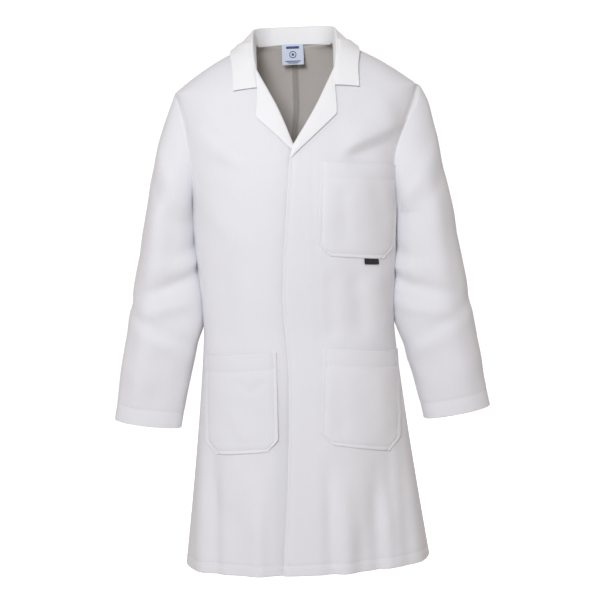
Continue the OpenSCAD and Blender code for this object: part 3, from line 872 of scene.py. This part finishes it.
def pushed_off(points, clear):
    """Moves points that are closer to the body than their clearance out to it."""
    p = points.copy()
    for _ in range(5):
        x, y = p[..., 0], p[..., 1]
        z = np.minimum(p[..., 2], -0.0008)
        side = np.where(y <= 0, FRONT, BACK)

        def level(px, py, pz):
            m = roundness(pz)
            dd = np.where(side == FRONT, half_d(pz, FRONT), half_d(pz, BACK))
            return ((np.abs(px) / half_w(pz)) ** m + (np.abs(py) / dd) ** m) ** (1 / m)

        f = level(x, y, z)
        h = 0.0004
        grad = np.stack([
            (level(x + h, y, z) - level(x - h, y, z)) / (2 * h),
            (level(x, y + h, z) - level(x, y - h, z)) / (2 * h),
            (level(x, y, z) - level(x, y, z - h)) / h,
        ], -1)
        size = np.maximum(np.linalg.norm(grad, axis=-1), 1e-6)
        away = (f - 1) / size
        # fades out above the shoulder, where the leaf stands clear by itself
        need = np.clip(clear - away, 0, 0.004) * ramp(points[..., 2], 0.011, -0.009)
        p = p + grad / size[..., None] * need[..., None] * 0.9
    return p


def draped_leaf(points, clear, low):
    """Lays the front part of the collar on the body: its y comes from the body's surface there."""
    p = points.copy()
    x, z = p[..., 0], p[..., 2]
    y = depth(np.minimum(x, half_w(z) - 1e-4), z, FRONT)
    p[..., 1] = mix(p[..., 1], y - clear, ramp(-z, 0.010, 0.045) * low)
    return p


def collar_half():
    """Rows of the collar from its neck seam over the fold to the leaf's edge, on the wearer's left."""
    s = np.linspace(0, 1, 64) ** 0.92
    base, fold_line, middle, edge = (curve(np.array(line) / 1000, s) for line in COLLAR_LINES)
    rows = [mix(base, fold_line, t) for t in (0, 0.25, 0.5, 0.75, 0.92)]
    out = fold_line - mix(base, fold_line, 0.7)
    out /= np.linalg.norm(out, axis=-1, keepdims=True)
    side = np.cross(np.gradient(fold_line, axis=0), out)
    side /= np.linalg.norm(side, axis=-1, keepdims=True)
    side *= np.sign(np.sum(side * (edge - fold_line), -1, keepdims=True))
    r = 0.0022 * mix(1, 0.45, ramp(s, 0.75, 1.0))[:, None]
    for angle in np.radians((20, 60, 100, 140)):
        rows.append(fold_line + side * r * (1 - np.cos(angle)) + out * r * np.sin(angle))
    start = fold_line + side * r * 2
    for t in spaced((0.06, 0.93, 0.972, 0.985, 1.0), (20, 1, 1, 1)):
        q = (1 - t) ** 2 * start + 2 * t * (1 - t) * (2 * middle - 0.5 * start - 0.5 * edge) + t**2 * edge
        rows.append(q)
    grid = np.array(rows)
    fold_rows = 9
    lie = np.concatenate([np.linspace(0, 0.6, 5), np.full(4, 0.8), np.ones(len(rows) - fold_rows)])[:, None]
    clear = np.concatenate([np.full(5, 0.0028), np.linspace(0.0030, 0.0062, 4),
                            np.linspace(0.0070, 0.0066, len(rows) - fold_rows)])[:, None]
    grid = draped_leaf(grid, clear, lie * ramp(s, 0.55, 0.80)[None, :])
    grid[fold_rows:] = pushed_off(grid[fold_rows:], LEAF_OFF)
    return grid


def collar():
    half = collar_half()
    other = half[:, :0:-1].copy()
    other[..., 0] *= -1
    grid = np.concatenate([other, half], 1) + (LEAN, 0, 0)
    piece = join_grids("collar", (grid, {"flip": False}))
    thicken(piece, COLLAR_CLOTH)
    normals = normals_of(grid, False)
    sign = np.sign(np.sum(normals[-6] * (grid[-6] - grid[0]), -1)).mean()
    normals = normals * sign
    leaf = slice(12, -3)
    lines = [
        grid_line(grid, normals, row=-4, off=COLLAR_STITCH_OFF),
        grid_line(grid, normals, col=2, keep=leaf, off=COLLAR_STITCH_OFF),
        grid_line(grid, normals, col=-3, keep=leaf, off=COLLAR_STITCH_OFF),
        grid_line(grid, -normals, row=1, off=COLLAR_STITCH_OFF),
    ]
    return piece, stitches("collar_stitching", *lines)


# ---- Patch pockets ----

POCKET_OFF = 0.0026
POCKET_BULGE = 0.0045
POCKET_CLOTH = 0.0007
POCKET_CUT = 0.022
# How far in from the edge its line of stitches runs
POCKET_LINE = 0.0055
POCKETS = {
    # mouth's inner and outer end, foot's inner and outer end, depth of the band along the mouth
    "chest_pocket": ((0.053, -0.228), (0.204, -0.241), (0.042, -0.407), (0.190, -0.420), 0.030),
    "left_hip_pocket": ((0.046, -0.585), (0.192, -0.605), (0.033, -0.772), (0.192, -0.796), 0.032),
    "right_hip_pocket": ((-0.046, -0.590), (-0.186, -0.600), (-0.049, -0.782), (-0.192, -0.790), 0.033),
}
# Folds in the pockets' own cloth, set out like those of the body
POCKET_FOLDS = [
    ((-0.126, -0.640), (-0.098, -0.668), 0.006, 0.008, -0.0018),
    ((-0.070, -0.640), (-0.100, -0.674), 0.006, 0.008, -0.0018),
    ((-0.140, -0.690), (-0.112, -0.770), 0.010, 0.012, 0.0014),
    ((0.092, -0.262), (0.094, -0.400), 0.012, 0.016, -0.0024),
    ((0.146, -0.250), (0.176, -0.372), 0.012, 0.016, -0.0026),
    ((0.070, -0.640), (0.080, -0.776), 0.014, 0.018, -0.0016),
    ((0.150, -0.620), (0.160, -0.790), 0.016, 0.018, 0.0018),
]


def flat_index(places, turned, at):
    """Index of the place nearest to a distance, among those that aren't turned under."""
    return int(np.argmin(np.abs(places - at) + 9 * (turned > 0)))


def pocket_grid(corners, band):
    """Points of a patch pocket, its rows of stitches along the foot and the band, and its two columns."""
    mouth_in, mouth_out, foot_in, foot_out = (np.array(c) for c in corners)
    width = np.linalg.norm(mouth_out - mouth_in)
    height = np.linalg.norm(mouth_in - foot_in)
    line = POCKET_LINE

    def turned_ends(size, count):
        """Distances along a side with both edges turned under, and how far each is turned."""
        near = (0, 0.0012, line - 0.0014, line, line + 0.0014, 0.010)
        flat = spaced((*near, *(size - d for d in near[::-1])), (1, 1, 1, 1, 1, count, 1, 1, 1, 1, 1))
        first = [(0.008, 1.0), (0.0005, 1.0), (-0.0005, 0.5)]
        last = [(size + 0.0005, 0.5), (size - 0.0005, 1.0), (size - 0.008, 1.0)]
        places = np.array([p for p, _ in first] + list(flat) + [p for p, _ in last])
        turned = np.array([a for _, a in first] + [0.0] * len(flat) + [a for _, a in last])
        return places, turned

    across, turn_u = turned_ends(width, 22)
    up, turn_v = turned_ends(height, 26)
    # the band along the mouth has its own line of stitches
    near = flat_index(up, turn_v, height - band)
    up[near] = height - band
    up[near - 1], up[near + 1] = up[near] - 0.0020, up[near] + 0.0020
    up[-1] = height - band + 0.004
    u, v = np.meshgrid(across / width, up / height)
    tu, tv = np.meshgrid(turn_u, turn_v)
    low = foot_in + (foot_out - foot_in) * u[..., None]
    high = mouth_in + (mouth_out - mouth_in) * u[..., None]
    place = mix(low, high, v[..., None])
    cut = POCKET_CUT * np.clip(1 - np.clip(v, 0, 1) * height / POCKET_CUT, 0, 1)
    place[..., 0] += np.sign(mouth_out[0]) * cut * (1 - 2 * u)
    edge_u, edge_v = np.clip(np.minimum(u, 1 - u), 0, 1) * width, np.clip(v, 0, 1) * height
    belly = (1 - np.abs(2 * np.clip(u, 0, 1) - 1) ** 3) * ramp(v, 0.05, 0.75)
    turned = np.maximum(tu, tv)
    off = POCKET_OFF + POCKET_BULGE * belly - 0.0010 * turned
    wrinkles = sum(fold(place[..., 0], place[..., 1], *f) for f in POCKET_FOLDS)
    dips = seam_dip(edge_u - line, 0.0012, 0.0019) + seam_dip(edge_v - line, 0.0012, 0.0019)
    dips = dips + seam_dip((1 - v) * height - band, 0.0007, 0.0022)
    points = body_at(place[..., 0], place[..., 1], FRONT, off + (dips + wrinkles) * (turned == 0))
    foot = flat_index(up, turn_v, line)
    cols = [flat_index(across, turn_u, at) for at in (line, width - line)]
    return points, foot, near, cols


def pocket(name):
    *corners, band = POCKETS[name]
    points, foot, band_row, (first, last) = pocket_grid(corners, band)
    flip = corners[0][0] < 0
    mesh_name = name.replace("chest", "breast").replace("hip_pocket", "skirt_pocket")
    piece = join_grids(mesh_name, (points, {"flip": flip}))
    thicken(piece, POCKET_CLOTH)
    normals = normals_of(points, flip)
    lines = [
        grid_line(points, normals, col=first, keep=slice(foot, -4)),
        grid_line(points, normals, col=last, keep=slice(foot, -4)),
        grid_line(points, normals, row=foot, keep=slice(first, last + 1)),
        grid_line(points, normals, row=band_row, keep=slice(4, -4)),
    ]
    return piece, stitches(mesh_name + "_stitching", *lines)


# ---- Small sewn pieces ----


def fly_strip():
    """Concealed strip behind the left front that carries the studs' sockets."""
    share, z = np.meshgrid(np.linspace(0, 1, 10), np.linspace(-0.800, -0.214, 60))
    points = body_at(mix(over_edge(z) + 0.009, 0.033, share), z, FRONT, -0.0059)
    return thicken(join_grids("stud_fly", (points, {})), 0.0009)


def vent_flap():
    """Part of the wearer's right back that lies under the left one along the vent."""
    heights = spaced((HEM + 0.001, VENT_TOP, VENT_TOP + 0.012), (60, 3))
    x, z = np.meshgrid(np.linspace(-0.006, 0.045, 14), heights)
    points = body_at(x, z, BACK, -0.0030 - 0.0016 * (x > 0))
    return thicken(join_grids("vent_flap", (points, {"flip": True})))


def centre_seam():
    """Seam allowance of the back's centre seam, pressed open inside the coat."""
    pieces = []
    for hand in (LEFT, RIGHT):
        x, z = np.meshgrid(np.linspace(0.0004, 0.0062, 4), spaced((VENT_TOP, -0.004), (150,)))
        out = -0.0016 - 0.0010 * np.exp(-((x / 0.0016) ** 2)) + 0.0003 * np.sin(90 * z + hand)
        pieces.append((body_at(hand * x, z, BACK, out), {"flip": hand == RIGHT}))
    return thicken(join_grids("centre_seam", *pieces), 0.0007)


LABEL_W, LABEL_H, LABEL_X = 0.043, 0.041, 0.0085
LABEL_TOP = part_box("neck_label")[1].z
LABEL_Y = 0.0568


def label_at(u, v, out=0.0):
    """Points on the neck label: u across, v down from its sewn top edge."""
    x = LABEL_X + (u - 0.5) * LABEL_W
    y = LABEL_Y - 0.0010 - 0.0042 * v**1.3 + 0.0012 * np.sin(math.pi * u) * v - out
    z = LABEL_TOP - LABEL_H * v
    return np.stack(np.broadcast_arrays(x, y, z), -1)


def neck_label():
    share = np.linspace(0, 1, 26)
    u, v = np.meshgrid(share, share)
    top = [label_at(share, 0.05, -0.0010), label_at(share, 0.0, -0.0007)]
    grid = np.concatenate([top, label_at(u, v)])
    return thicken(join_grids("size_label", (grid, {"flip": True})), 0.0005)


# Plain woven bars in place of wording: left, right, top and bottom as shares of the label
LABEL_BARS = [(0.20, 0.80, 0.10, 0.22), (0.14, 0.86, 0.80, 0.845), (0.22, 0.78, 0.875, 0.905),
              (0.30, 0.70, 0.935, 0.955)]
BARS_OFF = 0.00042


def label_bars():
    grids = []
    for left, right, top, low in LABEL_BARS:
        u, v = np.meshgrid(np.linspace(left, right, 12), np.linspace(top, low, 5))
        grids.append((label_at(u, v, BARS_OFF), {"flip": True}))
    # a plain ring and dot
    t = np.linspace(0, 2 * math.pi, 40)
    for inner, outer in ((0.13, 0.165), (0.0, 0.06)):
        rings = [label_at(0.5 + r * np.cos(t), 0.50 + r * LABEL_W / LABEL_H * np.sin(t), BARS_OFF)
                 for r in (inner, outer)]
        grids.append((np.array(rings), {"flip": False}))
    return thicken(join_grids("label_pattern", *grids), 0.00016, rounded=False)


TAB_X, TAB_W, TAB_Z = 0.1300, 0.0265, -0.4150
LOOP_HALF_W = 0.0025


def pocket_tab():
    """Black tape folded double and sewn into the foot of the chest pocket."""
    u = np.linspace(0, 1, 16)
    rows = []
    for drop, out in ((-0.004, 0.0012), (0.0005, 0.0014), (0.003, 0.0030), (0.007, 0.0037), (0.0115, 0.0036),
                      (0.0123, 0.0030), (0.0117, 0.0023), (0.009, 0.0019), (0.003, 0.0016), (-0.003, 0.0006)):
        z = TAB_Z - drop - 0.0024 * u
        rows.append(body_at(TAB_X + u * TAB_W, z, FRONT, out))
    return thicken(join_grids("side_tab", (np.array(rows), {"flip": True})), 0.0007)


def tape_loop():
    """Tape to hang the coat by, sewn at both ends into the back neck seam."""
    lo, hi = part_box("hanger_loop")
    half, drop = (hi.x - lo.x) / 2 - LOOP_HALF_W, hi.z - lo.z - LOOP_HALF_W
    middle = (lo.y + hi.y) / 2
    rows = []
    for t in np.linspace(0, math.pi, 40):
        ripple = 0.0004 * math.sin(9 * t)
        centre = np.array([LABEL_X + half * math.cos(t), middle - 0.0022 * math.sin(t) + ripple,
                           hi.z - drop * math.sin(t)])
        across = np.array([math.cos(t), 0.05, -math.sin(t)])
        rows.append([centre + across * w for w in np.linspace(-LOOP_HALF_W, LOOP_HALF_W, 6)])
    return thicken(join_grids("loop_tape", (np.array(rows), {})), 0.0009)


# ---- Materials ----


class Nodes:
    """Short way to build a material's nodes."""

    def __init__(self, name, **fixed):
        self.material = bpy.data.materials.new(name)
        self.material.use_nodes = True
        self.tree = self.material.node_tree
        self.shader = self.tree.nodes["Principled BSDF"]
        for socket, value in fixed.items():
            self.shader.inputs[socket.replace("_", " ")].default_value = value

    def add(self, kind, links=(), **settings):
        node = self.tree.nodes.new(kind)
        for key, value in settings.items():
            if key in node.inputs:
                node.inputs[key].default_value = value
            else:
                setattr(node, key, value)
        for socket, source in dict(links).items():
            self.tree.links.new(source, node.inputs[socket])
        return node

    def link(self, source, socket):
        self.tree.links.new(source, self.shader.inputs[socket])

    def math(self, operation, a, b):
        node = self.add("ShaderNodeMath", operation=operation)
        for i, value in enumerate((a, b)):
            if isinstance(value, (int, float)):
                node.inputs[i].default_value = value
            else:
                self.tree.links.new(value, node.inputs[i])
        return node.outputs[0]

    def ramp_colour(self, factor, low, high, start=0.0, stop=1.0):
        node = self.add("ShaderNodeValToRGB", links={"Fac": factor})
        node.color_ramp.elements[0].position = start
        node.color_ramp.elements[1].position = stop
        node.color_ramp.elements[0].color = (*low, 1)
        node.color_ramp.elements[1].color = (*high, 1)
        return node.outputs["Color"]

    def noise(self, scale, detail=3.0, stretch=(1, 1, 1)):
        place = self.add("ShaderNodeTexCoord").outputs["Object"]
        mapped = self.add("ShaderNodeMapping", links={"Vector": place}, Scale=stretch)
        node = self.add("ShaderNodeTexNoise", links={"Vector": mapped.outputs["Vector"]}, Scale=scale,
                        Detail=detail)
        return node.outputs["Fac"]

    def threads(self, pitch, turn, distortion=0.4):
        """Even bands across the cloth, a pitch apart, at a turn from its length."""
        place = self.add("ShaderNodeUVMap", uv_map="cloth").outputs["UV"]
        mapped = self.add("ShaderNodeMapping", links={"Vector": place}, Rotation=(0, 0, math.radians(turn)))
        wave = self.add("ShaderNodeTexWave", links={"Vector": mapped.outputs["Vector"]},
                        Scale=0.314 / pitch / 2, Distortion=distortion, Detail=1.0)
        return wave.outputs["Fac"]

    def vary_roughness(self, value, low, high):
        node = self.add("ShaderNodeMapRange", links={"Value": value})
        node.inputs["To Min"].default_value = low
        node.inputs["To Max"].default_value = high
        self.link(node.outputs["Result"], "Roughness")

    def bump(self, height, strength, distance):
        node = self.add("ShaderNodeBump", links={"Height": height}, Strength=strength, Distance=distance)
        self.link(node.outputs["Normal"], "Normal")


def cloth_material(name, low, high, twill=0.0009, roughness=0.88, sheen=0.2, strength=0.22):
    """Cotton twill: slanting ribs over a fine thread, with slight changes of tone and creasing."""
    n = Nodes(name, Roughness=roughness, Sheen_Weight=sheen, Sheen_Roughness=0.5, Specular_IOR_Level=0.25)
    tone = n.noise(7.0, 4.0)
    slub = n.noise(260.0, 2.0, (1, 1, 0.15))
    rib = n.threads(twill, 62)
    thread = n.threads(twill * 0.55, -28, 0.8)
    mixed = n.math("ADD", n.math("MULTIPLY", tone, 0.55), n.math("MULTIPLY", slub, 0.25))
    mixed = n.math("ADD", mixed, n.math("MULTIPLY", rib, 0.20))
    n.link(n.ramp_colour(mixed, low, high, 0.25, 0.75), "Base Color")
    n.vary_roughness(slub, roughness - 0.05, min(1.0, roughness + 0.06))
    crease = n.noise(38.0, 4.0)
    height = n.math("ADD", n.math("MULTIPLY", rib, 0.5), n.math("MULTIPLY", thread, 0.25))
    height = n.math("ADD", height, n.math("MULTIPLY", crease, 1.1))
    n.bump(height, strength, 0.0006)
    return n.material


def metal_material(name):
    """Nickel-plated steel, spun and slightly worn."""
    n = Nodes(name, Metallic=1.0, Specular_IOR_Level=0.5)
    wear = n.noise(420.0, 4.0)
    n.link(n.ramp_colour(wear, (0.52, 0.51, 0.49), (0.80, 0.79, 0.77), 0.3, 0.7), "Base Color")
    n.vary_roughness(n.noise(900.0, 3.0, (1, 1, 0.2)), 0.22, 0.42)
    n.bump(n.noise(1500.0, 2.0), 0.12, 0.0001)
    return n.material


WHITE_LOW, WHITE_HIGH = (0.785, 0.778, 0.815), (0.83, 0.824, 0.86)
white_cloth = cloth_material("white_twill", WHITE_LOW, WHITE_HIGH)
# Inside of the back halves: the same white cloth, darker and warmer as painted shade inside the coat.
wrong_side_painted_shade = cloth_material("twill_wrong_side_painted_shade", (0.62, 0.565, 0.525), (0.68, 0.63, 0.59))
# Collar and lapels: lighter than the body cloth, partly for the doubled cloth and partly as painted
# highlight.
double_cloth_and_highlight = cloth_material("double_twill_and_painted_highlight", (0.875, 0.873, 0.895), (0.905, 0.903, 0.92), strength=0.15)
# Centre back seam allowance: the same white cloth, darkened as painted shade.
seam_painted_shade = cloth_material("seam_twill_painted_shade", (0.44, 0.40, 0.36), (0.52, 0.48, 0.44))
thread_white = cloth_material("white_thread", (0.90, 0.90, 0.915), (0.95, 0.95, 0.96), 0.0003, 0.6, 0.1, 0.2)
label_cloth = cloth_material("label_satin", (0.60, 0.66, 0.80), (0.72, 0.78, 0.88), 0.0004, 0.5, 0.3, 0.2)
label_dark = cloth_material("label_navy", (0.045, 0.075, 0.20), (0.07, 0.11, 0.27), 0.0004, 0.55, 0.2, 0.2)
tab_cloth = cloth_material("black_tape", (0.012, 0.012, 0.014), (0.028, 0.028, 0.032), 0.0005, 0.7, 0.2, 0.5)
tape_cloth = cloth_material("cotton_tape", (0.74, 0.74, 0.755), (0.84, 0.84, 0.85), 0.0007, 0.85, 0.2, 0.4)
stud_metal = metal_material("stud_nickel")


def dress(piece, material, second):
    """Puts a material on a piece, and the second one where the piece has a second kind of face."""
    kinds = piece.data.materials
    if len(kinds) == 2:
        kinds[0], kinds[1] = material, second
    else:
        kinds.clear()
        kinds.append(material)


# ---- The coat's pieces on the frame's bodies ----


def across_fold(piece):
    """Puts the piece's placement into its mesh."""
    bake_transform(piece)


def across_armpit(piece):
    """Puts the piece's placement into its mesh."""
    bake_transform(piece)


def coat_piece(piece, material=white_cloth, slot="coat_cloth", body=None, hand=None, sleeve_hand=None,
               second=double_cloth_and_highlight):
    """Gives a piece its material, and hangs it from a body's empty, or else puts its placement into its mesh.
    """
    dress(piece, material, second)
    if body:
        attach(piece, body)
    elif hand:
        across_fold(piece)
    else:
        across_armpit(piece)
    return piece


def sewn(pair, *nodes, material=white_cloth, second=double_cloth_and_highlight, **moves):
    """Finishes a piece of cloth and the stitches along it, which together stand for those nodes."""
    cloth, thread = pair
    coat_piece(cloth, material, second=second, **moves)
    coat_piece(thread, thread_white, **moves)
    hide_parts(*nodes)


SMALL_PIECES = [
    # maker, material, slot, body (none: its placement is put into its mesh), node it stands for
    (fly_strip, white_cloth, "coat_cloth", "left_front", "fly_strip"),
    (vent_flap, white_cloth, "coat_cloth", "shell", "vent_underlap"),
    # the seam allowance is darkened as painted shade
    (centre_seam, seam_painted_shade, "coat_cloth", "shell", None),
    (neck_label, label_cloth, "label_weave", "neck_label", "neck_label"),
    (label_bars, label_dark, "label_weave", "neck_label", None),
    (pocket_tab, tab_cloth, "tab_weave", None, "pocket_tab"),
    (tape_loop, tape_cloth, "loop_tape", "shell", "hanger_loop"),
]


def build_coat():
    for hand, side in ((LEFT, "left"), (RIGHT, "right")):
        fronts = [f"{side}_{part}" for part in ("front_panel", "front_side", "facing", "lapel")]
        sewn(front(hand), *fronts, hand=hand)
        sewn(back(hand), f"back_panel_{side}", second=wrong_side_painted_shade, body="shell")
        sewn(sleeve(hand), f"{side}_sleeve", f"{side}_sleeve_head", sleeve_hand=hand)
    sewn(collar(), "under_collar", "top_collar", material=double_cloth_and_highlight, body="shell")
    for name, hand in (("chest_pocket", LEFT), ("left_hip_pocket", LEFT), ("right_hip_pocket", RIGHT)):
        sewn(pocket(name), name, hand=hand)
    for make, material, slot, body, node in SMALL_PIECES:
        piece = coat_piece(make(), material, slot, body=body, hand=LEFT)
        if node:
            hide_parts(node)
    for name in ("stud_caps", "stud_sockets", "stud_posts", "stud_backs"):
        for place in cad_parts[name].material_slots:
            place.material = stud_metal


# How each piece is held, its flat width and length, and its area where it isn't a rectangle. The areas are
# those of the finished meshes, and the widths and lengths are estimates that go with them.
SHEETS = {
    "left_front": ("hung", 0.43, 1.06, 0.36),
    "right_front": ("hung", 0.43, 1.06, 0.365),
    "left_back": ("hung", 0.31, 1.04, 0.29),
    "right_back": ("hung", 0.31, 1.04, 0.29),
    "left_arm_sleeve": ("hung", 0.45, 0.65, 0.245),
    "right_arm_sleeve": ("hung", 0.45, 0.65, 0.24),
    "collar": ("folded", 0.50, 0.12, 0.046),
    "breast_pocket": ("hung", 0.17, 0.28, 0.047),
    "left_skirt_pocket": ("hung", 0.17, 0.30, 0.049),
    "right_skirt_pocket": ("hung", 0.165, 0.28, 0.045),
    "stud_fly": ("hung", 0.048, 0.585, None),
    "vent_flap": ("hung", 0.051, 0.34, None),
    "centre_seam": ("folded", 0.013, 0.70, None),
    "size_label": ("hung", 0.043, 0.045, None),
    "side_tab": ("folded", 0.030, 0.037, None),
}


def declare_sheets():
    for name, (held, width, length, area) in SHEETS.items():
        sewn = [name + "_stitching"] + (["label_pattern"] if name == "size_label" else [])
        sewn = [bpy.data.objects[other] for other in sewn if other in bpy.data.objects]


build_coat()
declare_sheets()


# ---- Floor, backdrop and light ----

FLOOR_Z = -1.36
STAGE_RADIUS = 9.0
STAGE_BEND = 2.5
STAGE_GLOW = 0.75


def backdrop():
    """A wide round floor that curves up into a wall, seen by the camera alone, so no light bounces off it."""
    bend = np.linspace(0, math.pi / 2, 16)
    profile = [(0.0002, 0.0), (3.0, 0.0)]
    profile += [(STAGE_RADIUS - STAGE_BEND * (1 - math.sin(t)), STAGE_BEND * (1 - math.cos(t))) for t in bend]
    profile += [(STAGE_RADIUS, STAGE_RADIUS)]
    turn = np.linspace(0, 2 * math.pi, 96, endpoint=False)
    rings = np.array([[(r * math.cos(t), r * math.sin(t), FLOOR_Z + z) for t in turn] for r, z in profile])
    floor = join_grids("backdrop", (rings, {"ring": True}))
    for kind in ("visible_diffuse", "visible_glossy", "visible_shadow"):
        setattr(floor, kind, False)
    n = Nodes("backdrop_paper", Roughness=0.95, Specular_IOR_Level=0.1)
    n.link(n.ramp_colour(n.noise(0.8, 1.0), (0.93, 0.93, 0.935), (0.95, 0.95, 0.955)), "Base Color")
    n.shader.inputs["Emission Color"].default_value = (1, 1, 1, 1)
    n.shader.inputs["Emission Strength"].default_value = STAGE_GLOW
    floor.data.materials.clear()
    floor.data.materials.append(n.material)


def area_light(name, at, aim, size, energy, colour):
    data = bpy.data.lights.new(name, "AREA")
    data.shape, data.size, data.energy, data.color = "DISK", size, energy, colour
    lamp = bpy.data.objects.new(name, data)
    lamp.location = at
    direction = Vector(aim) - Vector(at)
    lamp.rotation_euler = direction.to_track_quat("-Z", "Y").to_euler()
    bpy.context.scene.collection.objects.link(lamp)


WORLD_COLOUR, WORLD_STRENGTH = (1.0, 0.925, 0.86, 1), 0.43
LAMPS = [
    # name, place, aim, size, energy, colour
    ("key", (-0.55, -2.9, 0.7), (0, 0, -0.35), 0.9, 56, (0.90, 0.95, 1.0)),
    ("side", (-2.9, -1.3, -0.1), (0, 0, -0.5), 1.4, 6, (0.97, 0.985, 1.0)),
    ("back", (1.3, 3.0, 0.35), (0, 0, -0.5), 1.6, 42, (0.95, 0.975, 1.0)),
    ("fill", (2.2, -2.6, 0.2), (0, 0, -0.5), 2.2, 2, (0.96, 0.97, 1.0)),
]


def studio():
    world = bpy.data.worlds.new("studio")
    world.use_nodes = True
    sky = world.node_tree.nodes["Background"].inputs
    sky["Color"].default_value = WORLD_COLOUR
    sky["Strength"].default_value = WORLD_STRENGTH
    bpy.context.scene.world = world
    for lamp in LAMPS:
        area_light(*lamp)
    bpy.context.scene.view_settings.view_transform = "Standard"


backdrop()
studio()
